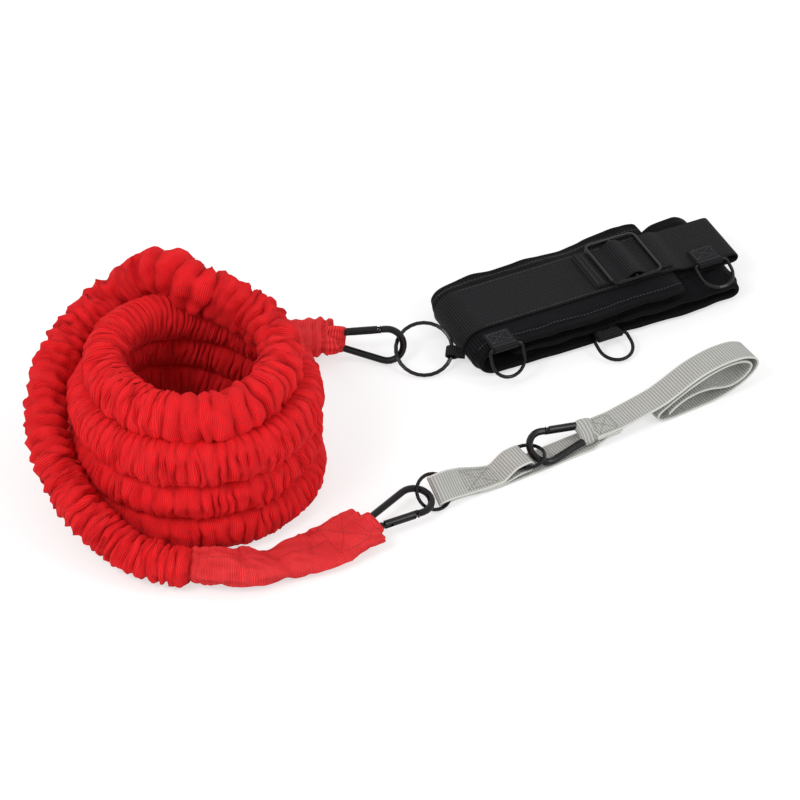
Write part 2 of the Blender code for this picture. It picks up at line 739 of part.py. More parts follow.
def make_strap_ring(frame, material):
    """The strap's first ring, held by the lower hook and leaning as the strap does."""
    wide_radius, spread = hook_outline()[:2]
    apex = ahead(frame.location, LOWER_HOOK_HEADING, spread + wide_radius)
    axis = make_empty("lower_ring_axis", apex, turned(heading=LOWER_HOOK_HEADING))
    mesh = ring_mesh("lower_strap_ring", STRAP_RING_RADIUS, STRAP_RING_WIRE)
    place = Vector((STRAP_RING_REACH - wide_radius, -LOWER_RING_OFFSET, 0))
    lean = turned(LOWER_RING_ROLL, 0, STRAP_HEADING - LOWER_HOOK_HEADING)
    place_mesh("lower_strap_ring", mesh, material, axis, place, lean)
    bpy.context.view_layer.update()
    return axis.matrix_world @ place


# Anchor strap


def flat_lift():
    return FLOOR_GAP + STRAP_THICKNESS / 2 + STRAP_LAYER


def strap_twist(run):
    """The strap leans where its first ring holds it, and lies flat further on."""
    share = 1 - smooth_step((run - STRAP_TWIST_START) / STRAP_TWIST_RUN)
    return radians(STRAP_TWIST) * share, mix(flat_lift(), LOWER_HOOK_HEIGHT, share)


def strap_hook_run():
    """Run of the middle of the strap hook's narrow end."""
    return RING_SPACING + STRAP_RING_REACH + hook_outline()[1]


def sewn_start():
    """Run of the sewn end that holds the strap hook."""
    return strap_hook_run() + hook_eye_setback()


def ring_strap_path():
    """Middle layer, raised loop, top layer, loop round the first ring, bottom layer, and the bridge on the
    floor that rises under the sewn end."""
    raised = RAISED_LOOP_HEIGHT - flat_lift()
    half = RAISED_LOOP_HALF_HEIGHT
    root = RING_SPACING - RAISED_LOOP_RUN
    fold = RING_SPACING - half
    loop = RING_LOOP_HALF_HEIGHT
    opening = [(mix(loop, RING_LOOP_RUN, share), mix(loop, STRAP_LAYER, drop)) for share, drop in RING_OPENING_SHARES]
    path = [(root - SEWN_RUN, 0), (root, 0)]
    path += [(mix(root, fold, share), (raised - half) * rise) for share, rise in RAISED_UNDER_SHARES]
    path += arc(fold, raised, half, -90, 90)
    path += [(mix(root, fold, share), mix(STRAP_LAYER, raised + half, rise)) for share, rise in RAISED_OVER_SHARES]
    path += opening[::-1]
    path += arc(loop, 0, loop, 90, 270)
    path += [(run, -height) for run, height in opening]
    under = STRAP_HOOK_HEIGHT - flat_lift() - BRIDGE_LAYERS_SHARE * (STRAP_THICKNESS + GAP)
    path += [(root, -STRAP_LAYER), (RING_SPACING, -STRAP_LAYER), (sewn_start() - BRIDGE_LEAD, -STRAP_LAYER)]
    return [*path, (sewn_start() + BRIDGE_RISE, under), (sewn_start() + SEWN_RUN, under)]


# The roll at the far end, as shares of its length and height: over, round, back, and round again
ROLL_SHARES = (
    (0.02, 0.48), (0.17, 0.62), (0.35, 0.82), (0.505, 0.944), (0.67, 1.0), (0.83, 0.97), (0.91, 0.90),
    (0.974, 0.803), (1.0, 0.676), (0.99, 0.55), (0.943, 0.41), (0.85, 0.2535), (0.745, 0.141), (0.61, 0.060),
    (0.484, 0.032), (0.193, 0.032), (0.0885, 0.051), (0.026, 0.10), (0.0, 0.197), (0.021, 0.296), (0.078, 0.378),
    (0.193, 0.532), (0.349, 0.721), (0.505, 0.85), (0.67, 0.907), (0.807, 0.88), (0.88, 0.811), (0.928, 0.704),
    (0.932, 0.606), (0.90, 0.479), (0.833, 0.355), (0.734, 0.293), (0.63, 0.349), (0.526, 0.434), (0.401, 0.462),
    (0.276, 0.417), (0.172, 0.304), (0.109, 0.18),
)


def loop_strap_path():
    """Sewn end of two layers, then the rolled loop."""
    half = (STRAP_THICKNESS + GAP) / 2
    fold = sewn_start() + half + STRAP_THICKNESS / 2
    height = STRAP_HOOK_HEIGHT
    sewn = [(fold + SEWN_RUN, height - half), *arc(fold, height, half, 270, 90), (fold + SEWN_RUN, height + half)]
    roll = [(ROLL_START + ROLL_LENGTH * run, ROLL_HEIGHT * rise) for run, rise in ROLL_SHARES]
    curve = [Vector((run, 0, rise)) for run, rise in [sewn[-1], *roll]]
    return [*sewn, *[(point.x, point.z) for point in smooth_curve(curve, 2)[1:]]]


def make_anchor_strap(place, meshes, materials):
    webbing, metal = materials["grey_webbing"], materials["metal"]
    frame = make_empty("strap_frame", (place.x, place.y, 0), turned(heading=STRAP_HEADING))
    section = flat_section(STRAP_WIDTH, STRAP_THICKNESS)
    place_mesh("ring_strap", strap_mesh("ring_strap", ring_strap_path(), section, strap_twist), webbing, frame)
    ring = ring_mesh("upper_strap_ring", STRAP_RING_RADIUS, STRAP_RING_WIRE)
    lean = turned(UPPER_RING_ROLL, UPPER_RING_PITCH)
    place_mesh("upper_strap_ring", ring, metal, frame, (RING_SPACING, 0, RAISED_LOOP_HEIGHT), lean)
    rotation = turned(STRAP_HOOK_ROLL, STRAP_HOOK_PITCH, 180)
    place = (strap_hook_run(), STRAP_HOOK_OFFSET, STRAP_HOOK_HEIGHT)
    hook = make_empty("strap_hook_frame", place, rotation, frame)
    make_hook("strap_hook", hook, meshes, metal)
    mesh = strap_mesh("loop_strap", loop_strap_path(), section)
    strap = place_mesh("loop_strap", mesh, webbing, frame)
    join_hook_eye(strap, hook, webbing)
    bake(strap)


# Belt


def pad_heights():
    """Heights of the middle of the pad's lower, middle and top layers."""
    lower = FLOOR_GAP + PAD_THICKNESS / 2
    middle = lower + PAD_THICKNESS + PAD_LOWER_GAP
    return lower, middle, middle + PAD_THICKNESS + PAD_UPPER_GAP


def left_fold():
    """Run, height and radius of the pad's left fold."""
    lower, middle, top = pad_heights()
    radius = (top - lower) / 2
    return radius + PAD_THICKNESS / 2, (top + lower) / 2, radius


def make_pad(frame, material):
    """One padded band folded in three layers: inside, round the right, underneath, round the left, on top."""
    lower, middle, top = pad_heights()
    right_radius = (middle - lower) / 2
    right = PAD_LENGTH - right_radius - PAD_THICKNESS / 2
    left, left_height, left_radius = left_fold()
    path = [(PAD_INNER_START, middle), *arc(right, (middle + lower) / 2, right_radius, 90, -90)]
    path += [*arc(left, left_height, left_radius, 270, 90), (PAD_TOP_LENGTH, top)]
    section = flat_section(PAD_WIDTH, PAD_THICKNESS, PAD_EDGE_ROUND)
    return place_mesh("belt_pad", strap_mesh("belt_pad", path, section), material, frame)


def webbing_top():
    """Height of the upper face of the webbing on the top layer."""
    return pad_heights()[2] + PAD_THICKNESS / 2 + GAP + WEBBING_THICKNESS


def step_height():
    return webbing_top() - WEBBING_THICKNESS / 2 - WEBBING_STEP_DOWN


def make_webbing(frame, material):
    left, left_height, left_radius = left_fold()
    wrap = left_radius + PAD_THICKNESS / 2 + GAP + WEBBING_THICKNESS / 2
    returned = pad_heights()[1] + PAD_THICKNESS / 2 + PAD_UPPER_GAP / 2
    fold_radius = (step_height() - returned) / 2
    fold = PAD_TOP_LENGTH + WEBBING_BEYOND_PAD - fold_radius - WEBBING_THICKNESS / 2
    step = PAD_TOP_LENGTH + WEBBING_THICKNESS
    path = arc(left, left_height, wrap, WEBBING_WRAP_DEGREES, 90)
    path += [(step, path[-1][1]), (step + WEBBING_STEP_RUN, step_height())]
    path += [*arc(fold, step_height() - fold_radius, fold_radius, 90, -90), (WEBBING_RETURN, returned)]
    webbing = strap_mesh("belt_webbing", path, flat_section(WEBBING_WIDTH, WEBBING_THICKNESS))
    return place_mesh("belt_webbing", webbing, material, frame, (0, -WEBBING_OFFSET, 0))


def rounded_outline(length, width, corner):
    """Middle line of a rounded rectangle, centred on the origin."""
    found = []
    for x_side, y_side, start in ((1, 1, 0), (-1, 1, 90), (-1, -1, 180), (1, -1, 270)):
        x, y = x_side * (length / 2 - corner), y_side * (width / 2 - corner)
        for n in range(SLIDER_CORNER_STEPS + 1):
            angle = radians(start + 90 * n / SLIDER_CORNER_STEPS)
            found.append(Vector((x + corner * cos(angle), y + corner * sin(angle), 0)))
    return found


def make_slider(frame, materials):
    """Wire slider with a middle bar, and the end of the strap that is threaded over the bar."""
    strap_height = webbing_top() + GAP + STRAP_END_THICKNESS / 2
    wire_height = strap_height + STRAP_END_THICKNESS / 2 + GAP + SLIDER_WIRE / 2
    over_bar = wire_height + SLIDER_WIRE / 2 + GAP + STRAP_END_THICKNESS / 2
    axis = make_empty("slider_frame_axis", (SLIDER_PLACE, -WEBBING_OFFSET, 0), (0, 0, 0), frame)
    outline = rounded_outline(SLIDER_LENGTH - SLIDER_WIRE, SLIDER_WIDTH - SLIDER_WIRE, SLIDER_CORNER)
    wire = round_section(SLIDER_WIRE / 2, RING_SIDES)
    mesh = mesh_from("belt_slider", *sweep(outline, Vector((0, 0, 1)), wire, closed=True))
    slider = place_mesh("belt_slider", mesh, materials["metal"], axis, (0, 0, wire_height))
    half = (SLIDER_WIDTH - SLIDER_WIRE) / 2
    bar = mesh_from("bar", *sweep([Vector((0, -half, 0)), Vector((0, half, 0))], Vector((0, 0, 1)), wire))
    add_boolean(slider, "UNION", place_mesh("slider_bar", bar, materials["metal"], axis, (0, 0, wire_height)))
    bake(slider)
    rise = [(STRAP_END_SLOPE * (STRAP_END_SLOPE_SHARE - share), mix(strap_height, over_bar, smooth_step(share)))
            for share in STRAP_END_RISE_SHARES]
    path = [(-STRAP_END_LEFT, strap_height)]
    path += [(-run, height) for run, height in rise]
    path += rise[::-1]
    path += [(STRAP_END_RIGHT, strap_height)]
    section = flat_section(STRAP_END_WIDTH, STRAP_END_THICKNESS)
    place_mesh("strap_end", strap_mesh("strap_end", path, section), materials["black_webbing"], axis)


def d_ring_mesh():
    """A D-ring with its bar on the Y axis and its bow towards +X."""
    half = (D_RING_INNER_WIDTH + D_RING_WIRE) / 2
    corner = D_RING_WIRE
    outline = [Vector((corner * (1 - cos(a)), corner * (1 - sin(a)) - half, 0)) for a in (0, pi / 4, pi / 2)]
    for n in range(D_RING_ARC_STEPS + 1):
        angle = mix(-pi / 2, pi / 2, n / D_RING_ARC_STEPS)
        outline.append(Vector((D_RING_DEPTH - half + half * cos(angle), half * sin(angle), 0)))
    outline += [Vector((point.x, -point.y, 0)) for point in outline[2::-1]]
    return mesh_from("d_ring", *sweep(outline, Vector((0, 0, 1)), round_section(D_RING_WIRE / 2, RING_SIDES), closed=True))


def make_d_ring(name, frame, run, bar, height, drop, materials):
    """A D-ring and the sewn tab that holds its bar, at a run along the belt and a distance from its middle."""
    side = make_empty(name + "_tab_frame", (run, 0, 0), turned(heading=-90), frame)
    layer = (TAB_THICKNESS + GAP) / 2
    radius = (D_RING_WIRE + TAB_THICKNESS) / 2 + GAP
    neck = bar - radius * TAB_NECK_SHARE
    loop = arc(bar, height, radius, -TAB_LOOP_DEGREES, TAB_LOOP_DEGREES, TAB_LOOP_STEPS)
    path = [(bar - TAB_RUN, height - layer), (neck, height - layer), *loop, (neck, height + layer),
            (bar - TAB_RUN, height + layer)]
    tab = strap_mesh(name + "_tab", path, flat_section(TAB_WIDTH, TAB_THICKNESS))
    place_mesh(name + "_tab", tab, materials["black_webbing"], side)
    axis = make_empty(name + "_axis", (bar, 0, height), turned(pitch=drop), side)
    place_mesh(name, d_ring_mesh(), materials["metal"], axis)


def make_d_rings(frame, materials):
    tab_half = GAP / 2 + TAB_THICKNESS
    loop = D_RING_WIRE / 2 + GAP + TAB_THICKNESS
    beside_pad = PAD_WIDTH / 2 + GAP + loop
    beside_webbing = WEBBING_WIDTH / 2 + WEBBING_OFFSET + GAP + loop
    lower, middle, top = pad_heights()
    on_pad = top + PAD_THICKNESS / 2 + GAP + tab_half
    on_webbing = step_height() + WEBBING_THICKNESS / 2 + GAP + tab_half
    between = (lower + middle) / 2
    make_d_ring("front_d_ring", frame, FRONT_D_RING_PLACE, beside_pad, on_pad, -FRONT_D_RING_TILT, materials)
    side = PAD_TOP_LENGTH + SIDE_D_RING_BEYOND_PAD
    make_d_ring("side_d_ring", frame, side, beside_webbing, on_webbing, -SIDE_D_RING_TILT, materials)
    make_d_ring("lower_d_ring", frame, LOWER_D_RING_PLACE, beside_pad, between, -LOWER_D_RING_TILT, materials)


def ring_far_side():
    """Place of the back ring's far side along its swinging frame, and reach of the fabric loop past it."""
    return BACK_RING_REACH - hook_outline()[0] + BACK_RING_RADIUS, BACK_RING_WIRE / 2 + EYE_CLEARANCE + EYE_THICKNESS / 2


def belt_face():
    """Run of the belt's left fold, just outside its webbing."""
    left, left_height, left_radius = left_fold()
    return left - left_radius - PAD_THICKNESS / 2 - WEBBING_THICKNESS - 2 * GAP


def belt_frame_place(height):
    """Place of the belt's own frame, so that its left fold is held by the back ring's far side."""
    return ring_far_side()[1] + BELT_LINK_LENGTH - belt_face(), BELT_LINK_OFFSET, -height


def make_ring_loop(ring_axis, frame, spot, material):
    """The loop that ties the back ring to the fold of the belt, with a short tongue sewn to the webbing."""
    place, reach = ring_far_side()
    loop = place_mesh("back_ring_loop", eye_mesh("back_ring_loop", BACK_RING_WIRE, place), material, ring_axis)
    face = belt_face()
    middle = -BELT_LINK_OFFSET
    low = (face - BELT_LINK_LENGTH, middle - EYE_THICKNESS, spot.z - EYE_THICKNESS / 2)
    high = (face, middle + EYE_THICKNESS, spot.z + EYE_THICKNESS / 2)
    add_boolean(loop, "UNION", place_mesh("loop_tongue", block_mesh("loop_tongue", low, high), material, frame))
    bake(loop)


def make_belt(ring_axis, materials):
    bpy.context.view_layer.update()
    spot = ring_axis.matrix_world @ Vector((ring_far_side()[0], 0, 0))
    axis = make_empty("belt_axis", spot, turned(heading=BELT_HEADING))
    frame = make_empty("belt_frame", belt_frame_place(spot.z), turned(), axis)
    make_pad(frame, materials["pad"])
    make_webbing(frame, materials["black_webbing"])
    make_slider(frame, materials)
    make_d_rings(frame, materials)
    make_ring_loop(ring_axis, frame, spot, materials["black_webbing"])


def main():
    clear_scene()
    materials = {
        "sleeve": make_material("red_sleeve", (0.72, 0.012, 0.022), 0.75),
        "cuff": make_material("red_cuff", (0.72, 0.012, 0.022), 0.8),
        "tube": make_material("latex_tube", (0.75, 0.62, 0.38), 0.5),
        "metal": make_material("black_metal", (0.012, 0.012, 0.013), 0.25, 1.0),
        "grey_webbing": make_material("grey_webbing", (0.48, 0.48, 0.46), 0.8),
        "black_webbing": make_material("black_webbing", (0.012, 0.012, 0.013), 0.7),
        "pad": make_material("black_pad", (0.012, 0.012, 0.014), 0.85),
    }
    sleeve, upper_cuff, lower_cuff = make_cord(materials)
    meshes = hook_meshes(materials["metal"])
    upper_rotation = turned(UPPER_HOOK_ROLL, UPPER_HOOK_PITCH, UPPER_HOOK_HEADING)
    upper = hook_frame("upper_hook_frame", UPPER_CUFF_ROUTE, UPPER_HOOK_HEIGHT, upper_rotation, UPPER_HOOK_HEADING)
    lower_rotation = turned(LOWER_HOOK_ROLL, 0, LOWER_HOOK_HEADING)
    lower = hook_frame("lower_hook_frame", LOWER_CUFF_ROUTE, LOWER_HOOK_HEIGHT, lower_rotation, LOWER_HOOK_HEADING)
    make_hook("upper_hook", upper, meshes, materials["metal"])
    make_hook("lower_hook", lower, meshes, materials["metal"])
    join_hook_eye(upper_cuff, upper, materials["cuff"])
    join_hook_eye(lower_cuff, lower, materials["cuff"])
    for piece in (sleeve, upper_cuff, lower_cuff):
        bake(piece)
    ring_axis = make_back_ring(upper, materials["metal"])
    make_belt(ring_axis, materials)
    strap_place = make_strap_ring(lower, materials["metal"])
    make_anchor_strap(strap_place, meshes, materials)


main()
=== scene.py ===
from math import cos, pi, radians, sin, tau

import bmesh
import bpy
import numpy as np
from mathutils import Euler, Matrix, Vector, noise


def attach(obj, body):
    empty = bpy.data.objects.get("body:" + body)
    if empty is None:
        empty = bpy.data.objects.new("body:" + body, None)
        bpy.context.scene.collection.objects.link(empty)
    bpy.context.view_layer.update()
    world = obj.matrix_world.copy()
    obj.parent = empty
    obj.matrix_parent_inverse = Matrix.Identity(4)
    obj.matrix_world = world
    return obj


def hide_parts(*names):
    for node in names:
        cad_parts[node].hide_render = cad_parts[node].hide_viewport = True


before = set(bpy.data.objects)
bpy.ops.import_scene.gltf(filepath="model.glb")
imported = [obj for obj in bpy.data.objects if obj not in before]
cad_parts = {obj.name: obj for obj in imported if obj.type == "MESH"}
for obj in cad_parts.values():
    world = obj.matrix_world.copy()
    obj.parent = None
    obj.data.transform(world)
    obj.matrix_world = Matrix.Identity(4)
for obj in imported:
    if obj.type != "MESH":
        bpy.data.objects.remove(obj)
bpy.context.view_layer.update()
bpy.ops.object.select_all(action="DESELECT")


# Camera. It stands 4 m in front of the object and looks down at 40 degrees through a long
# lens, as for a picture in a shop's list.

CAMERA_PLACE = (-0.1066, -3.0508, 2.5716)
CAMERA_TURNS = (49.991, 0.0, -0.836)
CAMERA_LENS = 223.6

lens = bpy.data.cameras.new("camera")
lens.lens = CAMERA_LENS
lens.sensor_width = 36
camera = bpy.data.objects.new("camera", lens)
camera.location = CAMERA_PLACE
camera.rotation_euler = [radians(turn) for turn in CAMERA_TURNS]
bpy.context.scene.collection.objects.link(camera)
bpy.context.scene.camera = camera


# Gathered sleeve. A tube of ribbed red polyester, far longer than the elastic tube inside
# it, so that it lies in gathers. It is laid down in four turns on each other, then in a
# loose loop round the outside, and it is sewn into a cuff at each end.

GAP = 0.0003
FLOOR = 0.0005
SLEEVE_RADIUS = 0.0162
COIL_CENTRE = (-0.2222, -0.0785)
COIL_TURNS = 4
COIL_RADIUS = 0.082
COIL_TOP_RADIUS = 0.068
COIL_ENTRY_RADIUS = 0.140
COIL_ENTRY_DEGREES = 110
COIL_PITCH = 0.0342
COIL_CLIMB = (22, 158)
COIL_POINTS = 24
# Round the loop: degrees, distance from the coil's centre, and height
LOOP_ROUTE = (
    (105, 0.090, 0.1372), (118, 0.1065, 0.1196), (130, 0.1125, 0.1050), (145, 0.1158, 0.0930),
    (160, 0.117, 0.0826), (180, 0.117, 0.0703), (200, 0.118, 0.0560), (220, 0.1185, 0.0390),
    (238, 0.1205, 0.0250), (252, 0.124, 0.0180),
)
LOWER_CUFF_ROUTE = (
    (-0.2262, -0.2055), (-0.1872, -0.2080), (-0.1502, -0.1955), (-0.1192, -0.1795), (-0.0902, -0.1547),
)
UPPER_CUFF_ROUTE = (
    (-0.2122, 0.0615), (-0.1852, 0.0625), (-0.1602, 0.0655), (-0.1372, 0.0685), (-0.1192, 0.0685),
)
LOWER_HOOK_HEIGHT = 0.0125
UPPER_HOOK_HEIGHT = 0.0185
ROUTE_STEPS = 6

# Along the sleeve: share of its length, width of a gather, depth of its folds, radius of
# its crests, and how far its ruffles stand out
GATHERS = np.array((
    (0.00, 0.0085, 0.0034, 0.0164, 0.0008),
    (0.04, 0.0070, 0.0032, 0.0168, 0.0012),
    (0.09, 0.0120, 0.0022, 0.0166, 0.0012),
    (0.13, 0.0090, 0.0030, 0.0168, 0.0014),
    (0.18, 0.0062, 0.0034, 0.0170, 0.0012),
    (0.32, 0.0060, 0.0036, 0.0171, 0.0010),
    (0.36, 0.0085, 0.0038, 0.0170, 0.0016),
    (0.40, 0.0060, 0.0034, 0.0170, 0.0010),
    (0.52, 0.0052, 0.0036, 0.0171, 0.0010),
    (0.56, 0.0075, 0.0040, 0.0171, 0.0016),
    (0.62, 0.0060, 0.0034, 0.0170, 0.0010),
    (0.66, 0.0052, 0.0020, 0.0167, 0.0008),
    (0.69, 0.0056, 0.0018, 0.0167, 0.0008),
    (0.72, 0.0070, 0.0030, 0.0172, 0.0016),
    (0.745, 0.0092, 0.0038, 0.0175, 0.0018),
    (0.78, 0.0106, 0.0052, 0.0173, 0.0022),
    (0.82, 0.0140, 0.0066, 0.0178, 0.0034),
    (0.86, 0.0150, 0.0068, 0.0180, 0.0036),
    (0.90, 0.0112, 0.0062, 0.0176, 0.0028),
    (0.94, 0.0104, 0.0054, 0.0168, 0.0018),
    (0.975, 0.0082, 0.0046, 0.0166, 0.0014),
    (1.00, 0.0070, 0.0040, 0.0160, 0.0008),
))
GATHER_PROFILE = (0.0, 0.80, 1.0, 0.88, 0.62)
POINTED_PROFILE = (0.0, 0.42, 1.0, 0.78, 0.40)
SLEEVE_SIDES = 50
STACK_REACH = 0.0175
RUFFLE_LIMIT = 0.0197
# Shares of the sleeve's length, and the least radius at each, so that its folds clear the tube
LEAST_RADII = ((0.0, 0.78, 0.83, 0.91, 0.95, 1.0), (0.0098, 0.0100, 0.0130, 0.0130, 0.0112, 0.0096))
LEAST_GATHER = 0.004
UNDERSIDE_STRETCH = 0.10
UPPER_STRETCH = 0.12
LOOP_SHARE = 0.84
LOOP_START = 0.83
LOOP_END = 0.93
LOOP_EASE = 0.03
STACK_FILL = 0.88
TURN_WANDER = 0.0036
TOP_TURN_DROP = 0.0025
TOP_TURN_SHIFT = 0.0015
STRETCH_HEIGHTS = (0.024, 0.068, 0.098)
STRETCH_EASE = 0.008
SLANTS = (0.50, 0.34)
SLANT_START = 0.012


def smooth_step(value):
    value = np.clip(value, 0.0, 1.0)
    return value * value * (3 - 2 * value)


def mix(low, high, share):
    return low + (high - low) * share


def smooth_curve(points, steps=ROUTE_STEPS):
    """Points on a smooth curve through a route's own points."""
    points = np.asarray(points, float)
    ends = np.vstack([points[0] * 2 - points[1], points, points[-1] * 2 - points[-2]])
    t = (np.arange(steps) / steps)[:, None]
    found = []
    for a, b, c, d in zip(ends, ends[1:], ends[2:], ends[3:]):
        bend = (a * 2 - b * 5 + c * 4 - d) * t**2 + (b * 3 - a - c * 3 + d) * t**3
        found.append((b * 2 + (c - a) * t + bend) / 2)
    return np.vstack([*found, points[-1]])


def lengths_along(points):
    return np.concatenate([[0.0], np.cumsum(np.linalg.norm(np.diff(points, axis=0), axis=1))])


def places_on(points, distances):
    """The places at these distances along a curve."""
    along = lengths_along(points)
    return np.stack([np.interp(distances, along, points[:, axis]) for axis in range(points.shape[1])], axis=1)


def coil_point(degrees):
    """The middle line of the coil: level at the front, up by one layer at the back, and never quite round."""
    merged = smooth_step((degrees - 90) / COIL_ENTRY_DEGREES)
    top_turn = smooth_step((degrees - 90 - (COIL_TURNS - 1) * 360) / 180 + 0.5)
    radius = COIL_RADIUS + (COIL_ENTRY_RADIUS - COIL_RADIUS) * (1 - merged)
    radius -= (COIL_RADIUS - COIL_TOP_RADIUS) * top_turn
    layer, climbed = divmod(degrees - COIL_CLIMB[0], 360)
    level = layer - 1 + smooth_step(climbed / (COIL_CLIMB[1] - COIL_CLIMB[0])) if layer else 0
    past_entry, before_loop = (degrees - 200) / 150, (90 + COIL_TURNS * 360 - degrees) / 120
    wander = TURN_WANDER * noise.noise(Vector((degrees / 70, 3.7, 9.2)))
    radius += wander * smooth_step(past_entry) * smooth_step(before_loop)
    top = top_turn * smooth_step(before_loop * 0.66)
    x, y, height = loop_point(degrees, radius, SLEEVE_RADIUS + GAP + COIL_PITCH * level - TOP_TURN_DROP * top)
    return x - TOP_TURN_SHIFT * top, y, height


def loop_point(degrees, radius, height):
    angle = radians(degrees)
    return COIL_CENTRE[0] + radius * cos(angle), COIL_CENTRE[1] + radius * sin(angle), height


def cuff_points(route, end_height):
    last = len(route) - 1
    return [(x, y, mix(SLEEVE_RADIUS + GAP, end_height, (n / last) ** 2)) for n, (x, y) in enumerate(route)]


def tube_route():
    """The middle line from the upper hook to the lower one, and where the sleeve starts and ends on it."""
    upper = cuff_points(UPPER_CUFF_ROUTE, UPPER_HOOK_HEIGHT)[::-1]
    step = 360 // COIL_POINTS
    coil = [coil_point(90 + step * n) for n in range(1, COIL_TURNS * COIL_POINTS + 1)]
    loop = [loop_point(*place) for place in LOOP_ROUTE]
    lower = cuff_points(LOWER_CUFF_ROUTE, LOWER_HOOK_HEIGHT)
    curve = smooth_curve([*upper, *coil, *loop, *lower])
    along = lengths_along(curve)
    start = along[(len(upper) - 1) * ROUTE_STEPS]
    end = along[len(curve) - 1 - (len(lower) - 1) * ROUTE_STEPS]
    return curve, start, end, along[-1]


def directions(points):
    """Directions along a route, level across it, and square to both."""
    along = np.gradient(points, axis=0)
    along /= np.linalg.norm(along, axis=1)[:, None]
    across = np.cross((0.0, 0.0, 1.0), along)
    across /= np.linalg.norm(across, axis=1)[:, None]
    return along, across, np.cross(along, across)


def rumple(*places, seed=0.0):
    """Smooth bumps from about -1 to 1, one unit apart, at places given by three coordinates."""
    x, y, z = np.broadcast_arrays(*places)
    found = [noise.noise(Vector((a + seed, b - seed, c + seed))) for a, b, c in zip(x.flat, y.flat, z.flat)]
    return np.array(found).reshape(x.shape)


def tube_faces(rings, sides):
    """The faces of a closed skin over rings of points, with its two ends last."""
    index = np.arange(rings * sides).reshape(rings, sides)
    beside = np.roll(index, -1, axis=1)
    quads = np.stack([index[:-1], beside[:-1], beside[1:], index[1:]], axis=-1).reshape(-1, 4)
    return [*quads.tolist(), index[0, ::-1].tolist(), index[-1].tolist()]


def skin(grid, lengths, widths):
    """A closed skin over rings of points, with a map in metres that runs along the rings and round them."""
    rings, sides = grid.shape[:2]
    mesh = bpy.data.meshes.new("skin")
    mesh.from_pydata(grid.reshape(-1, 3).tolist(), [], tube_faces(rings, sides))
    u = np.broadcast_to(np.asarray(lengths)[:, None], (rings, sides + 1))
    v = np.broadcast_to(np.asarray(widths)[None, :], (rings, sides + 1))
    cloth = np.stack([u, v], axis=-1)
    corners = np.stack([cloth[:-1, :-1], cloth[:-1, 1:], cloth[1:, 1:], cloth[1:, :-1]], axis=2).reshape(-1, 2)
    ends = [cloth[0, :-1][::-1], cloth[-1, :-1]]
    layer = mesh.uv_layers.new(name="cloth")
    layer.data.foreach_set("uv", np.vstack([corners, *ends]).astype(np.float32).ravel())
    mesh.shade_smooth()
    return mesh


def mark(mesh, name, values):
    """Keep one number for each point of a mesh, for its material."""
    attribute = mesh.attributes.new(name, "FLOAT", "POINT")
    attribute.data.foreach_set("value", np.asarray(values, np.float32).ravel())


def face_outwards(mesh):
    shape = bmesh.new()
    shape.from_mesh(mesh)
    bmesh.ops.recalc_face_normals(shape, faces=shape.faces)
    shape.to_mesh(mesh)
    shape.free()


def fit(name, mesh, body, finish, stands_for=()):
    """Put a finished mesh on the object: its body, its finish, and the plain solids that it stands for."""
    mesh.name = name
    mesh.materials.append(finish.material)
    piece = bpy.data.objects.new(name, mesh)
    bpy.context.scene.collection.objects.link(piece)
    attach(piece, body)
    if stands_for:
        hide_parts(*stands_for)
    return piece


class Value:
    """A number on its way through a material. Sums with it add Math nodes."""

    def __init__(self, graph, socket):
        self.graph = graph
        self.socket = socket

    def maths(self, operation, first, second=0.0):
        return self.graph.node("ShaderNodeMath", {"operation": operation}, {0: first, 1: second})

    def __add__(self, other):
        return self.maths("ADD", self, other)

    def __sub__(self, other):
        return self.maths("SUBTRACT", self, other)

    def __rsub__(self, other):
        return self.maths("SUBTRACT", other, self)

    def __mul__(self, other):
        return self.maths("MULTIPLY", self, other)

    __radd__ = __add__
    __rmul__ = __mul__

    def size(self):
        return self.maths("ABSOLUTE", self)

    def ridges(self, spacing):
        """Rounded ridges from 0 to 1, one spacing apart."""
        return self.maths("SINE", self * (tau / spacing)) * 0.5 + 0.5

    def past(self, low, high):
        """0 below the low value and 1 above the high one, with a smooth change between them."""
        settings = {"interpolation_type": "SMOOTHSTEP"}
        return self.graph.node("ShaderNodeMapRange", settings, {"Value": self, "From Min": low, "From Max": high})


class Graph:
    """The nodes of a material or of the sky."""

    def __init__(self, holder):
        holder.use_nodes = True
        self.tree = holder.node_tree

    def node(self, kind, settings=None, sockets=None, out=0):
        node = self.tree.nodes.new(kind)
        for name, setting in (settings or {}).items():
            setattr(node, name, setting)
        for name, value in (sockets or {}).items():
            self.feed(node.inputs[name], value)
        return Value(self, node.outputs[out])

    def feed(self, socket, value):
        if isinstance(value, Value):
            self.tree.links.new(value.socket, socket)
        else:
            socket.default_value = value

    def show(self, surface):
        self.feed(self.tree.get_output_node("ALL").inputs["Surface"], surface)


